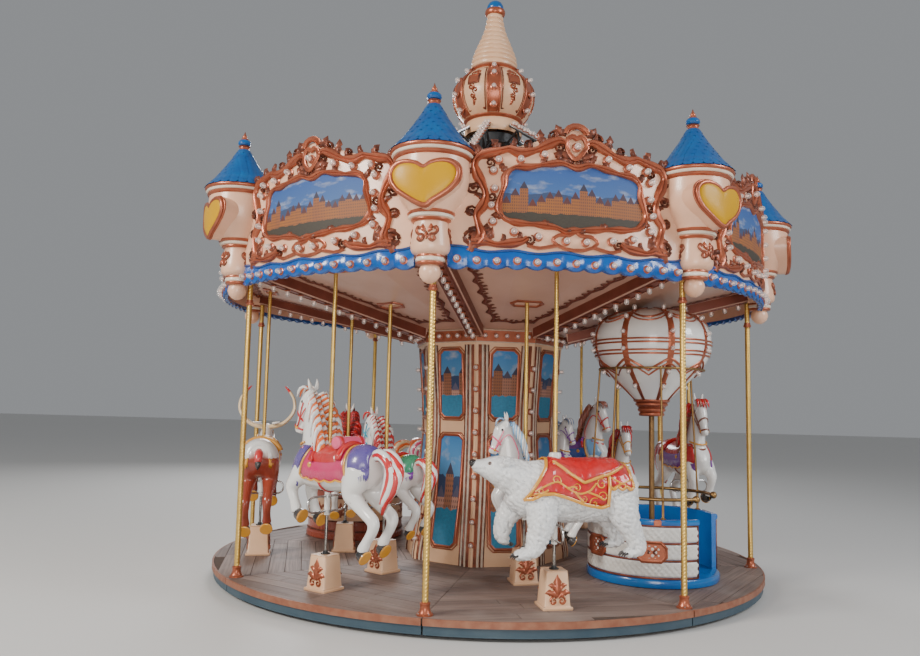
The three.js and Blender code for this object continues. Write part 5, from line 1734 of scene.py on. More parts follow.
def add_pole(ride, deg, radius, lift):
    """The pole, the sleeve and the hoop of one animal; the animal's place is returned."""
    place = turned_to(deg, radius, DECK_TOP + lift)
    pole, sleeve, hoop = forms(3)
    top = ceiling_under(radius) - DECK_TOP + POLE_OVER_CEILING
    pole.add(twisted_tube(0.018, 4, 0.085, SLEEVE_TOP - 0.01, top), place)
    sleeve_line = [(0.0135, SLEEVE_LOW + 0.002), (0.022, SLEEVE_LOW), (0.0228, SLEEVE_LOW + 0.004)]
    sleeve_line += [(0.0228, SLEEVE_TOP), (0.018, SLEEVE_TOP + 0.003)]
    sleeve.add(lathe(sleeve_line, 24), place)
    for side in (1, -1):
        path = [(0, side * HOOP_ROOT, HOOP_Z + HOOP_HIGH)]
        for turn in spaced(math.pi / 2, -math.pi / 2, 12):
            out = HOOP_LONG - HOOP_HIGH + HOOP_HIGH * math.cos(turn)
            path.append((0, side * out, HOOP_Z + HOOP_HIGH * math.sin(turn)))
        path.append((0, side * HOOP_ROOT, HOOP_Z - HOOP_HIGH))
        hoop.add(sweep(path, 0.0085, 0.0085, 12, across=(1, 0, 0)), place)
    for z in (HOOP_Z - HOOP_HIGH, HOOP_Z + HOOP_HIGH):
        clamp = [(0.0232, z - 0.012), (0.0262, z - 0.010), (0.0262, z + 0.010), (0.0232, z + 0.012)]
        hoop.add(lathe(clamp, 24), place)
    ride_piece(pole, ride, "pole", brass_tube, "gold_tube", 75)
    ride_piece(sleeve, ride, "sleeve", sleeve_white)
    ride_piece(hoop, ride, "hoop", chrome, "steel")
    return place


# Animals
# Moulded fibreglass, sprayed gloss white and brush-painted. The body, neck, head and legs are one
# shell, and the mane, tail, saddle, blankets, straps and hooves stand out of it in bright paint.
# Each animal is drawn facing +X, its left side +Y, with heights above the deck.
ROD_BORE = 0.0185
INNER_SCALE = 0.8
ACROSS, AHEAD, UPRIGHT = (0, 1, 0), (1, 0, 0), (0, 0, 1)


class Limb:
    """A part of an animal: oval rings (x, y, z, half width, half height) along a smooth line."""

    def __init__(self, *rings):
        self.centres = smooth_path([Vector(ring[:3]) for ring in rings], 5)
        sizes = smooth_path([(ring[3], ring[4], 0) for ring in rings], 5)
        self.widths = [max(0.002, size.x) for size in sizes]
        self.heights = [max(0.002, size.y) for size in sizes]

    def shape(self, sides=20):
        return sweep(self.centres, self.widths, self.heights, sides, across=ACROSS)

    def spot(self, share, turn_deg, out=0.0):
        """A point on the skin at a share of the length, at an angle round it (0 left, 90 over)."""
        last = len(self.centres) - 1
        at = min(max(share, 0), 1) * last
        i = min(int(at), last - 1)
        part = at - i
        centre = self.centres[i].lerp(self.centres[i + 1], part)
        along = (self.centres[min(i + 2, last)] - self.centres[max(i - 1, 0)]).normalized()
        wide = (Vector((0, 1, 0)) - along * along.y).normalized()
        deep = along.cross(wide)
        turn = math.radians(turn_deg)
        w = self.widths[i] + (self.widths[i + 1] - self.widths[i]) * part + out
        h = self.heights[i] + (self.heights[i + 1] - self.heights[i]) * part + out
        return centre + wide * (math.cos(turn) * w) + deep * (math.sin(turn) * h)

    def facing(self, share, turn_deg):
        return (self.spot(share, turn_deg, 0.02) - self.spot(share, turn_deg)).normalized()


def joined_limbs(limbs, voxel):
    """The limbs joined by a voxel remesh and smoothed, as a mesh."""
    form = Form()
    for limb in limbs:
        form.add(limb.shape())
    mesh = bpy.data.meshes.new("rough")
    mesh.from_pydata([tuple(p) for p in form.points], [], form.faces)
    rough = bpy.data.objects.new("rough", mesh)
    bpy.context.scene.collection.objects.link(rough)
    remesh = rough.modifiers.new("join", "REMESH")
    remesh.mode = "VOXEL"
    remesh.voxel_size = voxel
    soften = rough.modifiers.new("soften", "SMOOTH")
    soften.factor = 0.5
    soften.iterations = 5
    solved = bpy.data.meshes.new_from_object(rough.evaluated_get(bpy.context.evaluated_depsgraph_get()))
    bpy.data.objects.remove(rough)
    bpy.data.meshes.remove(mesh)
    return solved


def shell_piece(ride, limbs, material, place, voxel, keep, carve):
    """The animal's shell: its joined limbs, carved, and bored for the guide rod."""
    solved = joined_limbs(limbs, voxel)
    joined = Form()
    scale = place.to_scale().x
    in_bore = []
    for vertex in solved.vertices:
        point = place @ (vertex.co + vertex.normal * carve(vertex.co))
        flat = Vector((vertex.co.x, vertex.co.y, 0)) * scale
        in_bore.append(vertex.co.z < SLEEVE_TOP + 0.15 and flat.length < ROD_BORE)
        if in_bore[-1]:
            way = flat.normalized() if flat.length > 1e-6 else Vector((1, 0, 0))
            edge = way * (ROD_BORE / scale)
            point.xy = (place @ Vector((edge.x, edge.y, vertex.co.z))).xy
        joined.points.append(point)
    joined.faces = [tuple(p.vertices) for p in solved.polygons if not all(in_bore[v] for v in p.vertices)]
    bpy.data.meshes.remove(solved)
    return ride_piece(joined, ride, "shell", material, sharp_deg=180, keep=keep)


def patch(limb, shares, turns, out, wave=0.0, waves=6, thick=0.012, columns=26, rows=12):
    """A cloth or saddle on a limb: a raised sheet with a rounded edge; its hems may be scalloped."""
    points = []
    middle = (turns[0] + turns[1]) / 2
    for i in range(columns + 1):
        u = i / columns
        share = shares[0] + (shares[1] - shares[0]) * u
        scallop = wave * abs(math.sin(math.pi * waves * u))
        for j in range(rows + 1):
            v = j / rows
            turn = turns[0] + (turns[1] - turns[0]) * v
            widened = scallop if abs(2 * v - 1) > 0.9 else scallop * abs(2 * v - 1)
            edge = min(u, 1 - u, v * 0.7, (1 - v) * 0.7)
            lift = out + thick * min(1, max(0, edge) / 0.05) ** 0.5 - 0.006
            points.append(limb.spot(share, middle + (turn - middle) * (1 + widened), lift))
    return points, net(columns + 1, rows + 1, turned_over=True)


def strap(limb, share, turns, out, wide, thick, lean=0.0):
    """A band round a limb at a share of its length, leaning forwards as it rises."""
    path = []
    for turn in spaced(*turns, 30):
        path.append(limb.spot(share + lean * math.sin(math.radians(turn)), turn, out))
    closed = turns[1] - turns[0] == 360
    if closed:
        path = path[:-1]
    along = (limb.centres[-1] - limb.centres[0]).normalized()
    return sweep(path, wide, thick, 8, across=tuple(along), closed=closed)


def lock(at, way, fall, length, width, curl):
    """A lock of hair: a tapering strand that leaves along `way` and bends to `fall`."""
    path, sizes = [], []
    for share in spaced(0, 1, 9):
        path.append(at.copy())
        sizes.append(width * (0.35 + 0.9 * math.sin(math.pi * (0.12 + 0.80 * share))) * (1 - 0.55 * share))
        bend = way.lerp(fall, min(1, share * 1.5))
        sway = Vector((math.sin(share * 5.5), 0, math.cos(share * 5.5))) * curl
        at = at + (bend + sway).normalized() * (length / 9)
    return sweep(path, sizes, [s * 0.55 for s in sizes], 8, across=ACROSS)


HORSE_BODY = Limb(
    (-0.520, 0, 0.915, 0.030, 0.045), (-0.500, 0, 0.910, 0.098, 0.112), (-0.430, 0, 0.898, 0.150, 0.160),
    (-0.310, 0, 0.872, 0.162, 0.168), (-0.120, 0, 0.852, 0.162, 0.164), (0.050, 0, 0.858, 0.158, 0.168),
    (0.160, 0, 0.885, 0.148, 0.180), (0.245, 0, 0.925, 0.114, 0.160), (0.305, 0, 0.960, 0.060, 0.105),
)
HORSE_NECK = Limb(
    (0.125, 0, 0.930, 0.100, 0.148), (0.145, 0, 1.040, 0.088, 0.140), (0.160, 0, 1.160, 0.074, 0.124),
    (0.182, 0, 1.270, 0.064, 0.104), (0.206, 0, 1.360, 0.057, 0.084), (0.222, 0, 1.425, 0.040, 0.050),
)
HORSE_HEAD = Limb(
    (0.172, 0, 1.435, 0.030, 0.034), (0.206, 0, 1.418, 0.054, 0.070), (0.245, 0, 1.372, 0.062, 0.086),
    (0.276, 0, 1.310, 0.056, 0.078), (0.302, 0, 1.248, 0.045, 0.059), (0.324, 0, 1.195, 0.038, 0.048),
    (0.342, 0, 1.155, 0.041, 0.050), (0.354, 0, 1.126, 0.032, 0.038),
)
HORSE_LEGS = [
    Limb(
        (0.150, 0.078, 0.870, 0.072, 0.100), (0.215, 0.085, 0.810, 0.074, 0.086),
        (0.275, 0.090, 0.750, 0.060, 0.064), (0.305, 0.092, 0.712, 0.052, 0.055),
        (0.298, 0.092, 0.660, 0.043, 0.045), (0.272, 0.092, 0.600, 0.037, 0.039),
        (0.250, 0.092, 0.545, 0.043, 0.045), (0.238, 0.092, 0.512, 0.040, 0.042),
    ),
    Limb(
        (0.150, -0.078, 0.870, 0.072, 0.100), (0.205, -0.085, 0.795, 0.072, 0.084),
        (0.255, -0.090, 0.725, 0.058, 0.062), (0.280, -0.092, 0.680, 0.052, 0.055),
        (0.272, -0.092, 0.622, 0.043, 0.045), (0.245, -0.092, 0.560, 0.037, 0.039),
        (0.225, -0.092, 0.505, 0.043, 0.045), (0.214, -0.092, 0.472, 0.040, 0.042),
    ),
    Limb(
        (-0.400, 0.078, 0.890, 0.096, 0.124), (-0.372, 0.088, 0.790, 0.094, 0.110),
        (-0.355, 0.095, 0.705, 0.076, 0.084), (-0.400, 0.095, 0.645, 0.060, 0.064),
        (-0.490, 0.095, 0.575, 0.047, 0.051), (-0.572, 0.095, 0.512, 0.045, 0.049),
        (-0.566, 0.095, 0.445, 0.039, 0.041), (-0.520, 0.095, 0.375, 0.036, 0.038),
        (-0.486, 0.095, 0.318, 0.042, 0.044), (-0.468, 0.095, 0.286, 0.039, 0.041),
    ),
    Limb(
        (-0.400, -0.078, 0.890, 0.096, 0.124), (-0.385, -0.088, 0.795, 0.094, 0.110),
        (-0.375, -0.095, 0.715, 0.076, 0.084), (-0.420, -0.095, 0.655, 0.060, 0.064),
        (-0.510, -0.095, 0.590, 0.047, 0.051), (-0.588, -0.095, 0.532, 0.045, 0.049),
        (-0.580, -0.095, 0.466, 0.039, 0.041), (-0.542, -0.095, 0.400, 0.036, 0.038),
        (-0.511, -0.095, 0.346, 0.042, 0.044), (-0.495, -0.095, 0.314, 0.039, 0.041),
    ),
]
ELK_NECK = Limb(
    (0.140, 0, 0.925, 0.100, 0.142), (0.215, 0, 0.975, 0.086, 0.124), (0.285, 0, 1.028, 0.074, 0.104),
    (0.340, 0, 1.078, 0.062, 0.086), (0.376, 0, 1.112, 0.046, 0.058),
)
ELK_HEAD = Limb(
    (0.330, 0, 1.140, 0.034, 0.036), (0.362, 0, 1.130, 0.052, 0.062), (0.403, 0, 1.100, 0.057, 0.074),
    (0.443, 0, 1.060, 0.048, 0.060), (0.478, 0, 1.022, 0.038, 0.047), (0.506, 0, 0.992, 0.036, 0.043),
    (0.522, 0, 0.972, 0.026, 0.031),
)
HORSE_EAR = [(-0.004, 0.000, 0.010, 0.022, 0.017), (0.000, 0.012, 0.052, 0.019, 0.013)]
HORSE_EAR += [(0.008, 0.016, 0.088, 0.010, 0.006), (0.012, 0.015, 0.102, 0.003, 0.003)]
ELK_EAR = [(-0.030, 0.020, 0.010, 0.020, 0.016), (-0.075, 0.075, 0.020, 0.024, 0.014)]
ELK_EAR += [(-0.100, 0.110, 0.030, 0.010, 0.006)]
# The place of each hoof and its tilt in degrees.
HOOVES = [(0.220, 0.092, 0.502, -72), (0.196, -0.092, 0.460, -72), (-0.462, 0.095, 0.272, -62)]
HOOVES += [(-0.490, -0.095, 0.300, -62)]
# The tail's line: each point's length and height, its share of the strand's lead, of its offset
# from the middle, and of its own sway.
TAIL_LINE = [(-0.465, 0.965, 0, 0.4, 0), (-0.555, 0.990, 0, 0.9, 0), (-0.640, 0.945, -1, 1.2, 0)]
TAIL_LINE += [(-0.678, 0.865, 1, 1.1, 0), (-0.660, 0.765, 0, 1.2, 0), (-0.610, 0.680, -1, 1.0, 0)]
TAIL_LINE += [(-0.572, 0.600, 0, 0.5, 0.03)]
TAIL_STRANDS = 13
COLOURS = {
    "white": (0.80, 0.79, 0.76), "red": (0.58, 0.008, 0.012), "orange": (0.80, 0.14, 0.015),
    "purple": (0.20, 0.035, 0.36), "pink": (0.80, 0.10, 0.22), "cyan": (0.02, 0.42, 0.60),
    "blue": (0.012, 0.11, 0.46), "green": (0.02, 0.30, 0.15), "gold": (0.70, 0.31, 0.022),
    "black": (0.012, 0.012, 0.014), "magenta": (0.62, 0.020, 0.13), "violet": (0.105, 0.075, 0.34),
    "brown": (0.20, 0.055, 0.025), "dark_red": (0.30, 0.012, 0.018), "blue_grey": (0.14, 0.20, 0.34),
    "pale_blue": (0.22, 0.48, 0.78), "cream": (0.82, 0.62, 0.36), "chestnut": (0.36, 0.085, 0.045),
}
enamels = {}


def mixed(first, second, share):
    return tuple(a + (b - a) * share for a, b in zip(first, second))


def enamel(name):
    """A gloss enamel of one colour, made once and shared."""
    if name not in enamels:
        colour = COLOURS[name]
        # The hollow colour darkens the enamel's creases: partly dirt, partly painted shade.
        faded, dirt_and_shade = mixed(colour, (0.6, 0.5, 0.45), 0.16), mixed(colour, (0.02, 0.01, 0.01), 0.75)
        enamels[name] = painted(f"enamel_{name}", colour, faded, dirt_and_shade, roughness=0.2, coat=0.55, patch=6,
                                dirt_and_shade_share=0.8)
    return enamels[name]


# The elk's enamel is white over the back and blown with red-brown lower down.
COAT_SPLIT, COAT_BLEND = 1.105, 12
elk_coat = painted("elk_coat", COLOURS["chestnut"], COLOURS["dark_red"], roughness=0.2, coat=0.5, patch=6)
nodes = Nodes(elk_coat.node_tree)
coat_place = nodes.place()
ragged = nodes.times(nodes.cloudy(coat_place, 14, 4), 0.10)
coat_height = nodes.plus(nodes.add("SeparateXYZ", {0: coat_place}, "Z"), ragged)
white_share = nodes.times(nodes.minus(coat_height, COAT_SPLIT), COAT_BLEND, clamp=True)
for title, low_colour in (("Paint", (0.27, 0.040, 0.022)), ("Faded", (0.36, 0.075, 0.040))):
    coat_colour = nodes.mix(white_share, low_colour, (0.80, 0.78, 0.74))
    nodes.feed(coat_colour, elk_coat.node_tree.nodes["Group"].inputs[title])

EYEBALL = [(0, -1), (0.38, -0.92), (0.71, -0.71), (0.92, -0.38), (1, 0), (0.92, 0.38), (0.71, 0.71)]
EYEBALL += [(0.38, 0.92), (0, 1)]


def add_eyes(ride, place, spots, size, rim_colour):
    """Glossy black eyes in a ring of another colour."""
    rims, pupils = forms(2)
    for spot, facing in spots:
        at = place @ Matrix.Translation(spot) @ Vector(facing).to_track_quat("Z", "Y").to_matrix().to_4x4()
        rims.add(lathe([(r * size * 1.25, z * size * 0.55) for r, z in EYEBALL], 14), at)
        pupils.add(lathe([(r * size * 0.9, z * size * 0.55 + size * 0.32) for r, z in EYEBALL], 12), at)
    ride_piece(rims, ride, "eyes", enamel(rim_colour))
    ride_piece(pupils, ride, "pupils", enamel("black"))


def head_carving(head, eye_share):
    """Gives the depth of the mouth, the nostrils, the eye sockets and the muscles of the breast."""
    face = (head.centres[-1] - head.centres[0]).normalized()
    brow = face.cross(Vector((0, 1, 0)))
    muzzle = head.centres[-1] - face * 0.016
    dents = [(head.spot(0.93, turn), -0.008, 0.011) for turn in (28, 152)]
    for turn in (12, 168):
        dents.append((head.spot(eye_share, turn), -0.006, 0.016))
        dents.append((head.spot(eye_share - 0.08, turn), 0.004, 0.014))

    def carve(point):
        depth = 0.0
        for spot, high, size in dents:
            depth += high * math.exp(-(((point - spot).length / size) ** 2))
        from_muzzle = point - muzzle
        if from_muzzle.length < 0.075 and from_muzzle.dot(face) > -0.035:
            depth -= 0.005 * math.exp(-(((from_muzzle.dot(brow) + 0.014) / 0.007) ** 2))
        breast = Vector((0.22, math.copysign(0.1, point.y), 0.90))
        near_breast = math.exp(-(((point - breast).length / 0.09) ** 2))
        return depth + 0.003 * math.sin(point.x * 60 + point.z * 35) * near_breast

    return carve


def both_ears(head, ear):
    """Two ears from the rings of the left one, given from its root on the head's crest."""
    crest = head.spot(0.10, 90, -0.004)
    ears = []
    for s in (1, -1):
        root = crest + Vector((-0.012, s * 0.030, -0.006))
        ears.append(Limb(*[(root.x + x, root.y + s * y, root.z + z, w, h) for x, y, z, w, h in ear]))
    return ears


def add_hooves(ride, place):
    hooves, soles = forms(2)
    hoof_line = [(0.0, -0.046), (0.0540, -0.046), (0.0480, -0.010), (0.0450, 0.006), (0.036, 0.018)]
    sole_line = [(0.0, -0.056), (0.0510, -0.056), (0.0570, -0.051), (0.0570, -0.0465), (0.040, -0.0455)]
    for x, y, z, tilt in HOOVES:
        spot = place @ Matrix.Translation((x, y, z)) @ Matrix.Rotation(math.radians(-tilt), 4, "Y")
        hooves.add(lathe(hoof_line, 20), spot)
        soles.add(lathe(sole_line, 20), spot)
    ride_piece(hooves, ride, "hooves", enamel("black"))
    ride_piece(soles, ride, "soles", enamel("gold"), "gold_tube")


def add_hair(ride, place, hair_colour, streak_colour, tail_colour):
    """A horse's mane, forelock and tail, in locks of two colours."""
    draws = random.Random(ride)
    hair, streaks, tail_streaks = forms(3)
    crest = HORSE_HEAD.spot(0.10, 90, -0.004)
    for k, share in enumerate(spaced(0.06, 0.92, 18)):
        root = HORSE_NECK.spot(share, 90, -0.012)
        for s in (1, -1):
            length = draws.uniform(0.20, 0.27) * (0.8 + 0.4 * math.sin(math.pi * share))
            way, fall = Vector((-0.75, s * 0.95, 0.40)), Vector((0.22, s * 0.10, -1.0))
            strand = lock(root + Vector((0, s * 0.012, 0)), way, fall, length, 0.025, 0.38)
            (streaks if k % 2 else hair).add(strand, place)
    for k in range(5):
        side = k - 2
        way, fall = Vector((0.7, 0.12 * side, 0.35)), Vector((0.42, 0.08 * side, -0.95))
        strand = lock(crest + Vector((0.006 * k, 0.013 * side, 0.004)), way, fall, 0.15, 0.019, 0.2)
        (streaks if k % 2 else hair).add(strand, place)
    for k in range(TAIL_STRANDS):
        turn = 2 * math.pi * k / TAIL_STRANDS
        offset = Vector((0.030 * math.cos(turn), 0.036 * math.sin(turn), 0.026 * math.sin(turn * 2)))
        lead = 0.014 * math.cos(turn)
        path = []
        for x, z, ahead_share, offset_share, sway in TAIL_LINE:
            middle = Vector((x + ahead_share * lead, 0, z + sway * math.sin(k * 2.3)))
            path.append(middle + offset * offset_share)
        path = smooth_path(path, 5)
        last = len(path) - 1
        swell = [math.sin(math.pi * min(1, 0.1 + 0.9 * i / last)) for i in range(last + 1)]
        sizes = [0.001 + 0.027 * (0.4 + 0.8 * share) for share in swell]
        (tail_streaks if k % 2 else hair).add(sweep(path, sizes, sizes, 8, across=ACROSS), place)
    ride_piece(tail_streaks, ride, "tail_streaks", enamel(tail_colour), sharp_deg=80, keep=0.42)
    ride_piece(hair, ride, "hair", enamel(hair_colour), sharp_deg=80, keep=0.42)
    ride_piece(streaks, ride, "streaks", enamel(streak_colour), sharp_deg=80, keep=0.42)


def add_antlers(ride, place, hair_colour, streak_colour):
    """The elk's scut and its antlers, which sweep out and up, with painted tips."""
    hair, streaks, beams, tips = forms(4)
    scut = [(-0.465, 0, 0.950, 0.042, 0.044), (-0.530, 0, 0.915, 0.038, 0.036)]
    hair.add(Limb(*scut, (-0.558, 0, 0.860, 0.030, 0.028)).shape(14), place)
    scut_tip = [(-0.556, 0, 0.870, 0.029, 0.027), (-0.566, 0, 0.830, 0.022, 0.021)]
    streaks.add(Limb(*scut_tip, (-0.562, 0, 0.795, 0.004, 0.004)).shape(12), place)
    beam_line = [(0.346, 0.024, 1.150), (0.338, 0.100, 1.163), (0.330, 0.165, 1.190), (0.320, 0.236, 1.262)]
    beam_line += [(0.316, 0.268, 1.345), (0.324, 0.256, 1.435), (0.336, 0.214, 1.505)]
    tip_line = [(0.335, 0.218, 1.498), (0.342, 0.190, 1.532), (0.348, 0.162, 1.560)]
    tip_wide = [0.0155, 0.0152, 0.014, 0.013, 0.012, 0.010, 0.008, 0.006, 0.003]
    tip_deep = [0.0145, 0.0142, 0.013, 0.012, 0.011, 0.009, 0.007, 0.005, 0.003]
    for s in (1, -1):
        path = smooth_path([(x, s * y, z) for x, y, z in beam_line], 5)
        wide, deep = spaced(0.029, 0.016, len(path) - 1), spaced(0.024, 0.013, len(path) - 1)
        beams.add(sweep(path, wide, deep, 12, across=AHEAD), place)
        path = smooth_path([(x, s * y, z) for x, y, z in tip_line], 4)
        tips.add(sweep(path, tip_wide, tip_deep, 12, across=AHEAD), place)
    ride_piece(beams, ride, "antlers", enamel("cream"))
    ride_piece(tips, ride, "antler_tips", enamel("red"))
    ride_piece(hair, ride, "hair", enamel(hair_colour), sharp_deg=80, keep=0.42)
    ride_piece(streaks, ride, "streaks", enamel(streak_colour), sharp_deg=80, keep=0.42)


def add_bedroll(ride, place):
    """A pink roll behind the saddle, in two red bands."""
    bedroll, bands = forms(2)
    over = HORSE_BODY.spot(0.365, 90).z + 0.030
    along_y = place @ Matrix.Translation((-0.205, 0, over)) @ Matrix.Rotation(math.pi / 2, 4, "X")
    roll = [(0.0, -0.150), (0.030, -0.150), (0.046, -0.138), (0.048, 0.138), (0.030, 0.150), (0.0, 0.150)]
    bedroll.add(lathe(roll, 24), along_y)
    for at in (-0.105, 0.105):
        belt = [(0.047, at - 0.016), (0.052, at - 0.012), (0.052, at + 0.012), (0.047, at + 0.016)]
        bands.add(lathe(belt, 24), along_y)
    ride_piece(bedroll, ride, "bedroll", enamel("pink"))
    ride_piece(bands, ride, "bedroll_bands", enamel("red"))


def add_tack(ride, place, neck, head, colours):
    """The saddle on its blanket, the fringed cloths, the bridle with its rosettes, and the collar."""
    saddle_colour, blanket_colour, cloth_colour, fringe_colour, bridle_colour = colours
    saddle, blanket, flank, trim, fringe, bridle, collar = forms(7)
    skin_spot = HORSE_BODY.spot
    blanket.add(patch(HORSE_BODY, (0.36, 0.72), (-22, 202), 0.006, 0.05, 5, columns=34, rows=26), place)
    saddle.add(patch(HORSE_BODY, (0.42, 0.66), (22, 158), 0.020, thick=0.018), place)
    cantle = smooth_path([skin_spot(0.40, turn, 0.030) for turn in range(25, 156, 10)], 3)
    saddle.add(sweep(cantle, 0.026, 0.022, 10, across=AHEAD), place)
    pommel = smooth_path([skin_spot(0.665, turn, 0.026) for turn in range(45, 136, 10)], 3)
    saddle.add(sweep(pommel, 0.018, 0.020, 10, across=AHEAD), place)
    if ride == BEDROLL_RIDE:
        add_bedroll(ride, place)
    flank.add(patch(HORSE_BODY, (0.10, 0.335), (-6, 186), 0.006, 0.10, 3, columns=30, rows=24), place)
    flank.add(patch(HORSE_BODY, (0.755, 0.93), (-30, 210), 0.006, 0.06, 2, columns=22, rows=24), place)
    for share in (0.355, 0.725):
        trim.add(strap(HORSE_BODY, share, (-22, 202), 0.012, 0.010, 0.006), place)
    for turn, way in ((-22, -1), (202, 1)):
        edge = []
        for k in range(21):
            scallop = way * 5.6 * abs(math.sin(math.pi * 5 * k / 20))
            edge.append(skin_spot(0.36 + 0.36 * k / 20, turn + scallop, 0.010))
        trim.add(sweep(edge, 0.008, 0.006, 6, across=UPRIGHT), place)
    for first, last, waves, low, high in ((0.10, 0.335, 3, -6, 186), (0.755, 0.93, 2, -30, 210)):
        for turn, way in ((low, -1), (high, 1)):
            for k in range(13):
                share = first + (last - first) * (k + 0.5) / 13
                scallop = 6.0 * abs(math.sin(math.pi * waves * (k + 0.5) / 13))
                root = skin_spot(share, turn + way * scallop, 0.006)
                middle = root + Vector((0, 0, -0.040)) + HORSE_BODY.facing(share, turn) * 0.005
                strand = [root, middle, root + Vector((0, 0, -0.082))]
                wide, deep = [0.010, 0.011, 0.004], [0.008, 0.009, 0.004]
                fringe.add(sweep(strand, wide, deep, 6, across=AHEAD), place)
    bridle.add(strap(HORSE_BODY, 0.555, (196, 344), 0.004, 0.014, 0.005), place)
    for share, lean in ((0.80, 0.0), (0.56, -0.06)):
        bridle.add(strap(head, share, (0, 360), 0.003, 0.009, 0.0045, lean), place)
    bit_disc = [(0.0, -0.004), (0.014, -0.002), (0.016, 0.003), (0.010, 0.007), (0.0, 0.009)]
    girth_disc = [(0.0, -0.004), (0.018, -0.002), (0.021, 0.003), (0.012, 0.008), (0.0, 0.010)]
    for s in (1, -1):
        side = 0 if s == 1 else 180
        cheek = [head.spot(0.30 + 0.5 * k / 8, side, 0.004) for k in range(9)]
        bridle.add(sweep(cheek, 0.007, 0.004, 6, across=UPRIGHT), place)
        rein = [head.spot(0.80, side, 0.006), neck.spot(0.72, side, 0.012)]
        rein += [neck.spot(0.38, side + 28 * s, 0.012)]
        rein += [skin_spot(0.74, 90 - 30 * s, 0.022), skin_spot(0.68, 90 - 12 * s, 0.034)]
        bridle.add(sweep(smooth_path(rein, 8), 0.006, 0.0045, 6, across=UPRIGHT), place)
        outwards = Matrix.Rotation(-s * math.pi / 2, 4, "X")
        trim.add(lathe(bit_disc, 16), place @ Matrix.Translation(head.spot(0.80, side, 0.004)) @ outwards)
        girth = Matrix.Translation(skin_spot(0.62, 90 - 78 * s, 0.012))
        trim.add(lathe(girth_disc, 16), place @ girth @ outwards)
    bridle.add(strap(neck, 0.16, (196, 344), 0.010, 0.026, 0.010, 0.03), place)
    trim.add(strap(neck, 0.25, (196, 344), 0.010, 0.009, 0.008, 0.03), place)
    sash = [skin_spot(0.60 + 0.10 * k / 14, 20 + 140 * k / 14, 0.030) for k in range(15)]
    bridle.add(sweep(smooth_path(sash, 2), 0.013, 0.010, 8, across=AHEAD), place)
    back = skin_spot(0.55, 90).z
    collar_line = [(0.044, back - 0.020), (0.046, back + 0.022), (0.040, back + 0.034), (0.026, back + 0.040)]
    collar.add(lathe([*collar_line, (0.0185, back + 0.042)], 20), place)
    ride_piece(collar, ride, "collar", sleeve_white)
    ride_piece(saddle, ride, "saddle", enamel(saddle_colour), sharp_deg=60, keep=0.5)
    ride_piece(blanket, ride, "blanket", enamel(blanket_colour), sharp_deg=60, keep=0.5)
    ride_piece(flank, ride, "cloths", enamel(cloth_colour), sharp_deg=60, keep=0.5)
    ride_piece(trim, ride, "trim", enamel("gold"), "gold_tube", 60, 0.6)
    ride_piece(fringe, ride, "fringe", enamel(fringe_colour), sharp_deg=60, keep=0.6)
    ride_piece(bridle, ride, "bridle", enamel(bridle_colour), sharp_deg=60, keep=0.55)


# The colours of the hair, the streaks, the saddle, the blanket, the cloths, the fringe and the bridle.
RIDE_COLOURS = {
    "horse_1": ("white", "orange", "red", "magenta", "violet", "violet", "red"),
    "horse_2": ("red", "white", "red", "orange", "green", "purple", "cyan"),
    "horse_3": ("pale_blue", "white", "blue", "cyan", "pink", "gold", "pink"),
    "horse_4": ("red", "chestnut", "red", "purple", "red", "purple", "brown"),
    "horse_5": ("dark_red", "red", "pink", "red", "red", "pink", "gold"),
    "horse_6": ("brown", "chestnut", "purple", "blue", "pale_blue", "white", "red"),
    "horse_7": ("blue_grey", "white", "red", "purple", "purple", "gold", "purple"),
    "horse_8": ("orange", "cream", "green", "red", "orange", "green", "red"),
    "horse_9": ("white", "pink", "blue", "cyan", "blue", "cyan", "blue"),
    "horse_10": ("dark_red", "red", "purple", "pink", "purple", "pink", "purple"),
    "elk": ("red", "black", "gold", "red", "white", "gold", "gold"),
}
BEDROLL_RIDE = RED_TAIL_RIDE = "horse_1"
NEAR_HORSES = ("horse_1", "horse_2", "horse_3")
FINE_VOXEL, PLAIN_VOXEL, QUICK_VOXEL = 0.0105, 0.0135, 0.020
for ride, deg, radius, lift in RIDES:
    if ride == "bear":
        continue
    is_elk = ride == "elk"
    hair_colour, streak_colour, *tack_colours = RIDE_COLOURS[ride]
    neck, head, ear = (ELK_NECK, ELK_HEAD, ELK_EAR) if is_elk else (HORSE_NECK, HORSE_HEAD, HORSE_EAR)
    eye_share = 0.34 if is_elk else 0.30
    scale = 1.0 if radius == OUTER_ROW else INNER_SCALE
    about = Matrix.Translation((0, 0, 0.7)) @ Matrix.Scale(scale, 4) @ Matrix.Translation((0, 0, -0.7))
    place = add_pole(ride, deg, radius, lift) @ about
    voxel = FINE_VOXEL if ride in NEAR_HORSES else PLAIN_VOXEL
    limbs = [HORSE_BODY, neck, head, *both_ears(head, ear), *HORSE_LEGS]
    coat = elk_coat if is_elk else enamel("white")
    shell_piece(ride, limbs, coat, place, voxel, 0.34, head_carving(head, eye_share))
    add_hooves(ride, place)
    eyes = [(head.spot(eye_share, turn, -0.003), head.facing(eye_share, turn)) for turn in (12, 168)]
    add_eyes(ride, place, eyes, 0.014, "white")
    if is_elk:
        add_antlers(ride, place, hair_colour, streak_colour)
    else:
        add_hair(ride, place, hair_colour, streak_colour, "red" if ride == RED_TAIL_RIDE else streak_colour)
    add_tack(ride, place, neck, head, tack_colours)


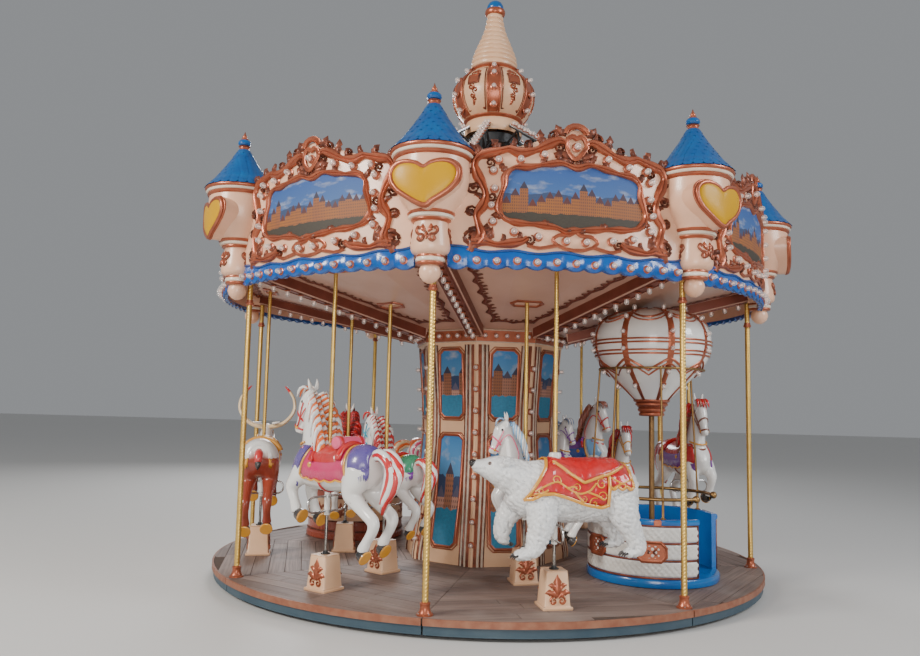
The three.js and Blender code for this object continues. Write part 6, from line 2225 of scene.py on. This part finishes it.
# Bear
# A walking polar bear with its fur cut into the moulding in short tufts, black claws and nose. Its
# red cloth runs down to the breast, with a point on each flank and a scalloped panel behind.
BEAR_BODY = Limb(
    (-0.628, 0, 0.905, 0.040, 0.060), (-0.602, 0, 0.902, 0.110, 0.145), (-0.525, 0, 0.888, 0.168, 0.198),
    (-0.390, 0, 0.880, 0.190, 0.218), (-0.240, 0, 0.880, 0.198, 0.220), (-0.050, 0, 0.880, 0.196, 0.220),
    (0.110, 0, 0.886, 0.190, 0.222), (0.225, 0, 0.910, 0.163, 0.200), (0.320, 0, 0.945, 0.112, 0.150),
)
BEAR_HEAD = Limb(
    (0.180, 0, 0.915, 0.140, 0.175), (0.255, 0, 0.952, 0.136, 0.158), (0.325, 0, 0.988, 0.124, 0.135),
    (0.395, 0, 1.018, 0.114, 0.117), (0.460, 0, 1.038, 0.100, 0.100), (0.515, 0, 1.048, 0.074, 0.077),
    (0.560, 0, 1.056, 0.056, 0.056), (0.600, 0, 1.064, 0.044, 0.044), (0.622, 0, 1.068, 0.029, 0.031),
)
BEAR_LEGS = [
    Limb(
        (0.125, 0.105, 0.850, 0.094, 0.144), (0.132, 0.125, 0.740, 0.090, 0.118),
        (0.142, 0.135, 0.645, 0.080, 0.098), (0.168, 0.135, 0.560, 0.070, 0.082),
        (0.196, 0.135, 0.500, 0.068, 0.068), (0.240, 0.135, 0.466, 0.068, 0.048),
        (0.300, 0.135, 0.452, 0.062, 0.038), (0.336, 0.135, 0.448, 0.034, 0.022),
    ),
    Limb(
        (0.180, -0.105, 0.850, 0.092, 0.128), (0.262, -0.125, 0.765, 0.086, 0.104),
        (0.322, -0.135, 0.690, 0.075, 0.084), (0.350, -0.135, 0.620, 0.066, 0.070),
        (0.358, -0.135, 0.560, 0.064, 0.060), (0.336, -0.135, 0.518, 0.054, 0.044),
        (0.306, -0.135, 0.506, 0.030, 0.024),
    ),
    Limb(
        (-0.440, 0.105, 0.860, 0.110, 0.150), (-0.478, 0.125, 0.748, 0.099, 0.120),
        (-0.520, 0.135, 0.652, 0.080, 0.090), (-0.562, 0.135, 0.565, 0.066, 0.072),
        (-0.592, 0.135, 0.500, 0.064, 0.058), (-0.560, 0.135, 0.468, 0.062, 0.040),
        (-0.508, 0.135, 0.458, 0.054, 0.032), (-0.480, 0.135, 0.456, 0.030, 0.018),
    ),
    Limb(
        (-0.410, -0.105, 0.860, 0.110, 0.147), (-0.440, -0.125, 0.745, 0.099, 0.116),
        (-0.478, -0.135, 0.648, 0.078, 0.084), (-0.520, -0.135, 0.568, 0.066, 0.068),
        (-0.546, -0.135, 0.520, 0.063, 0.055), (-0.514, -0.135, 0.490, 0.061, 0.039),
        (-0.462, -0.135, 0.480, 0.053, 0.031), (-0.436, -0.135, 0.478, 0.030, 0.018),
    ),
]
BEAR_EAR = [(0.392, 0.088, 1.072, 0.016, 0.030), (0.394, 0.108, 1.098, 0.016, 0.032)]
BEAR_EAR += [(0.396, 0.118, 1.122, 0.010, 0.020), (0.397, 0.120, 1.130, 0.003, 0.006)]
BEAR_TAIL = Limb(
    (-0.595, 0, 0.935, 0.030, 0.035), (-0.630, 0, 0.925, 0.028, 0.032), (-0.642, 0, 0.908, 0.010, 0.012),
)
BEAR_NOSE = Limb(
    (0.588, 0, 1.088, 0.022, 0.014), (0.614, 0, 1.083, 0.034, 0.028), (0.632, 0, 1.075, 0.027, 0.024),
    (0.641, 0, 1.071, 0.008, 0.008),
)
BEAR_EYE = Vector((0.506, 0.064, 1.084))
BEAR_EAR_CUP = Vector((0.398, 0.128, 1.104))
BEAR_MIDDLE_Z = 0.880
# The blue-grey in the hollows of the carved fur is painted shade.
bear_fur = painted("bear_fur", (0.80, 0.80, 0.79), (0.72, 0.72, 0.72), (0.26, 0.27, 0.30), roughness=0.3,
                   coat=0.35, patch=9, dirt_and_shade_share=0.95)
# Fine strokes between the carved tufts lie over the paint's own skin.
nodes = Nodes(bear_fur.node_tree)
strokes = nodes.cloudy(nodes.place(), 46, 2, stretch=(1.0, 1.0, 0.55))
paint_skin = bear_fur.node_tree.nodes["Bump"].outputs["Normal"]
fur_relief = {"Strength": 0.9, "Distance": 0.012, "Height": strokes, "Normal": paint_skin}
bear_shader = bear_fur.node_tree.nodes["Principled BSDF"].inputs
nodes.feed(nodes.add("Bump", fur_relief, "Normal"), bear_shader["Normal"])


def fur(point):
    """Short tufts running back and down, a mouth line, eye sockets and the hollows of the ears."""
    along = Vector((point.x * 17 + point.z * 11, point.y * 20, point.z * 26 - point.x * 20))
    tuft = abs(noise.noise(along)) * 3.2
    crossing = abs(noise.noise(along * 1.9 + Vector((7, 3, 5)))) * 2.6
    depth = 0.0088 * min(1, tuft) + 0.0040 * min(1, crossing) - 0.0080
    depth *= 1 - 0.78 * min(1, max(0, (point.x - 0.40) / 0.08))
    folded = Vector((point.x, abs(point.y), point.z))
    depth -= 0.007 * math.exp(-(((folded - BEAR_EYE).length / 0.013) ** 2))
    depth -= 0.008 * math.exp(-(((folded - BEAR_EAR_CUP).length / 0.014) ** 2))
    if point.x > 0.530:
        depth -= 0.006 * math.exp(-(((point.z - 1.042 + (point.x - 0.57) * 0.1) / 0.006) ** 2))
    return depth


place = add_pole(*RIDES[2])
bear_ears = [Limb(*[(x, s * y, z, w, h) for x, y, z, w, h in BEAR_EAR]) for s in (1, -1)]
limbs = [BEAR_BODY, BEAR_HEAD, *BEAR_LEGS, *bear_ears, BEAR_TAIL]
bear_shell = shell_piece("bear", limbs, bear_fur, place, 0.0080, 0.45, fur)
nose, claws = forms(2)
nose.add(BEAR_NOSE.shape(16), place)
for x, y, z in ((0.312, 0.135, 0.446), (-0.500, 0.135, 0.452), (-0.454, -0.135, 0.474)):
    for k in range(-2, 3):
        side = k * 0.022
        reach = 0.030 - 0.006 * abs(k)
        claw = [(x + reach - 0.012, y + side, z + 0.010), (x + reach + 0.010, y + side * 1.1, z + 0.004)]
        claw.append((x + reach + 0.024, y + side * 1.15, z - 0.016))
        claws.add(sweep(claw, [0.0085, 0.0075, 0.0015], [0.0085, 0.007, 0.0015], 8), place)
for k in range(4):
    y = -0.135 + (k - 1.5) * 0.026
    claw = [(0.312, y, 0.488), (0.292, y, 0.482), (0.276, y, 0.494)]
    claws.add(sweep(claw, [0.008, 0.007, 0.0015], [0.008, 0.007, 0.0015], 8), place)
ride_piece(nose, "bear", "nose", enamel("black"))
ride_piece(claws, "bear", "claws", enamel("black"))
eyes = []
for s in (1, -1):
    eyes.append(((BEAR_EYE.x, s * (BEAR_EYE.y - 0.0005), BEAR_EYE.z), (0.5, s, 0.30)))
add_eyes("bear", place, eyes, 0.011, "brown")
shell_mesh = bear_shell.data
shell_faces = [tuple(p.vertices) for p in shell_mesh.polygons]
skin = BVHTree.FromPolygons([v.co for v in shell_mesh.vertices], shell_faces)
home = place.inverted()


def on_bear(x, turn_deg, out):
    """The bear's skin at a length and an angle round it (0 left, 90 over), raised by `out`."""
    turn = math.radians(turn_deg)
    away = Vector((0, math.cos(turn), math.sin(turn)))
    start = place @ (Vector((x, 0, BEAR_MIDDLE_Z)) + away * 0.6)
    spot = skin.ray_cast(start, place.to_3x3() @ -away)[0]
    return home @ spot + away * out


def smoothed(line, rounds=2):
    """A line of points with the fur's bumps taken out, its two ends kept."""
    for _ in range(rounds):
        inner = [(a + b * 2 + c) / 4 for a, b, c in zip(line, line[1:], line[2:])]
        line = [line[0], *inner, line[-1]]
    return line


class Cloth:
    """A cloth over the bear's back: its ends as lines of (length, share of the way down), and a
    function that gives its hem at a share of its length, as an angle from the back."""

    def __init__(self, rear, front, hem, out, thick):
        self.rear, self.front, self.hem, self.out, self.thick = rear, front, hem, out, thick

    def spot(self, u, w, out):
        x = read_line(self.rear, abs(w)) * (1 - u) + read_line(self.front, abs(w)) * u
        return on_bear(x, 90 + w * self.hem(u), out)

    def sheet(self, columns, rows):
        """The raised cloth, its top ironed so that the fur doesn't show through."""
        points = []
        for i in range(columns + 1):
            u = i / columns
            line = []
            for j in range(rows + 1):
                w = 2 * j / rows - 1
                rise = min(1, 16 * min(u, 1 - u, (1 - abs(w)) * 0.8)) ** 0.5
                crease = 0.003 * math.sin(w * 21 + u * 5) * rise
                line.append(self.spot(u, w, self.out + self.thick * rise + crease))
            points += smoothed(line)
        return points, net(columns + 1, rows + 1, turned_over=True)

    def edging(self, rope, width, ends=(0.015, 0.985)):
        """A gold cord along both hems and the ends."""
        raised = self.out + self.thick + 0.002
        for w in (1, -1):
            cord = smoothed([self.spot(k / 60, w * 0.975, raised) for k in range(61)])
            rope.add(sweep(cord, width, 0.007, 8, across=UPRIGHT), place)
        for u in ends:
            cord = smoothed([self.spot(u, -1 + k / 40, raised) for k in range(81)])
            rope.add(sweep(cord, width, 0.007, 8, across=AHEAD), place)


MAIN_HEM = ((112, 0), (119, 0.10), (111, 0.30), (99, 0.50), (91, 0.66), (92, 0.80), (103, 0.92), (108, 1))
SEAT_HEM = ((36, 0), (52, 0.20), (60, 0.38), (71, 0.62), (48, 0.85), (26, 1))
MAIN_FRONT = ((0.085, 0), (0.120, 0.35), (0.215, 0.7), (0.285, 1))
main_cloth = Cloth(((-0.345, 0), (-0.360, 0.4), (-0.345, 1)), MAIN_FRONT, lambda u: read_line(MAIN_HEM, u),
                   -0.006, 0.024)
rear_cloth = Cloth(((-0.525, 0), (-0.548, 1)), ((-0.345, 0), (-0.345, 1)),
                   lambda u: 74 + 8 * abs(math.sin(u * math.pi * 3)), -0.006, 0.019)
seat_cloth = Cloth(((-0.490, 0), (-0.470, 1)), ((0.070, 0), (0.050, 1)), lambda u: read_line(SEAT_HEM, u),
                   0.012, 0.022)
cloth, gold, seat = forms(3)
cloth.add(main_cloth.sheet(50, 60), place)
cloth.add(rear_cloth.sheet(24, 44), place)
seat.add(seat_cloth.sheet(44, 34), place)
main_cloth.edging(gold, 0.013)
rear_cloth.edging(gold, 0.011, ends=(0.02,))
seat_cloth.edging(gold, 0.012, ends=())
# Branches as (length, angle) points, and curls by place, size, first angle and way of winding.
BEAR_BRANCHES = (
    ((0.205, 6), (0.120, 18), (0.040, 24), (-0.030, 12), (-0.110, 2), (-0.190, 7), (-0.245, 22)),
    ((-0.030, 12), (-0.075, 15), (-0.098, 10)),
    ((-0.080, 5), (-0.120, -7), (-0.150, -14)),
    ((-0.175, 5), (-0.250, -2), (-0.300, -10)),
    ((0.215, 0), (0.150, 3), (0.110, 9)),
)
BEAR_CURLS = (
    (0.050, 27, 0.034, 4.0, -1), (-0.100, 13, 0.026, 0.6, 1), (-0.285, 20, 0.040, 2.6, -1),
    (-0.292, -4, 0.034, 0.4, 1), (-0.225, -16, 0.036, 2.2, -1), (-0.150, -9, 0.022, 1.2, 1),
    (0.160, 6, 0.026, 3.0, 1), (0.225, -6, 0.026, 0.0, -1),
)
for side in (1, -1):
    for branch in BEAR_BRANCHES:
        line = smooth_path([(x, turn, 0) for x, turn in branch], 8)
        line = smoothed([on_bear(p.x, 90 - side * (90 - p.y), 0.0195) for p in line])
        gold.add(sweep(line, 0.008, 0.006, 6, across=UPRIGHT), place)
    for x, turn, size, start, way in BEAR_CURLS:
        path, widths = scroll(size, 1.25, 0.20, start, way)
        line = [on_bear(x + dx, 90 - side * (90 - turn - dz * 285), 0.0195) for dx, dz in path]
        gold.add(sweep(smoothed(line, 1), [w * 0.8 for w in widths], 0.006, 6, across=UPRIGHT), place)
    for (x0, turn0), (x1, turn1) in (((-0.365, 12), (-0.525, 32)), ((-0.365, 34), (-0.525, 12))):
        spots = zip(spaced(x0, x1, 16), spaced(turn0, turn1, 16))
        line = smoothed([on_bear(x, 90 - side * (90 - turn), 0.0135) for x, turn in spots])
        gold.add(sweep(line, 0.007, 0.006, 6, across=UPRIGHT), place)
ride_piece(cloth, "bear", "cloth", enamel("red"), sharp_deg=60, keep=0.6)
ride_piece(gold, "bear", "gold", enamel("gold"), "gold_tube", 60, 0.5)
ride_piece(seat, "bear", "seat", enamel("red"), sharp_deg=60)
collar_line = [(0.046, 1.085), (0.046, 1.150), (0.040, 1.160), (0.030, 1.164), (0.019, 1.166)]
ride_piece(Form().add(lathe(collar_line, 24), place), "bear", "collar", sleeve_white)
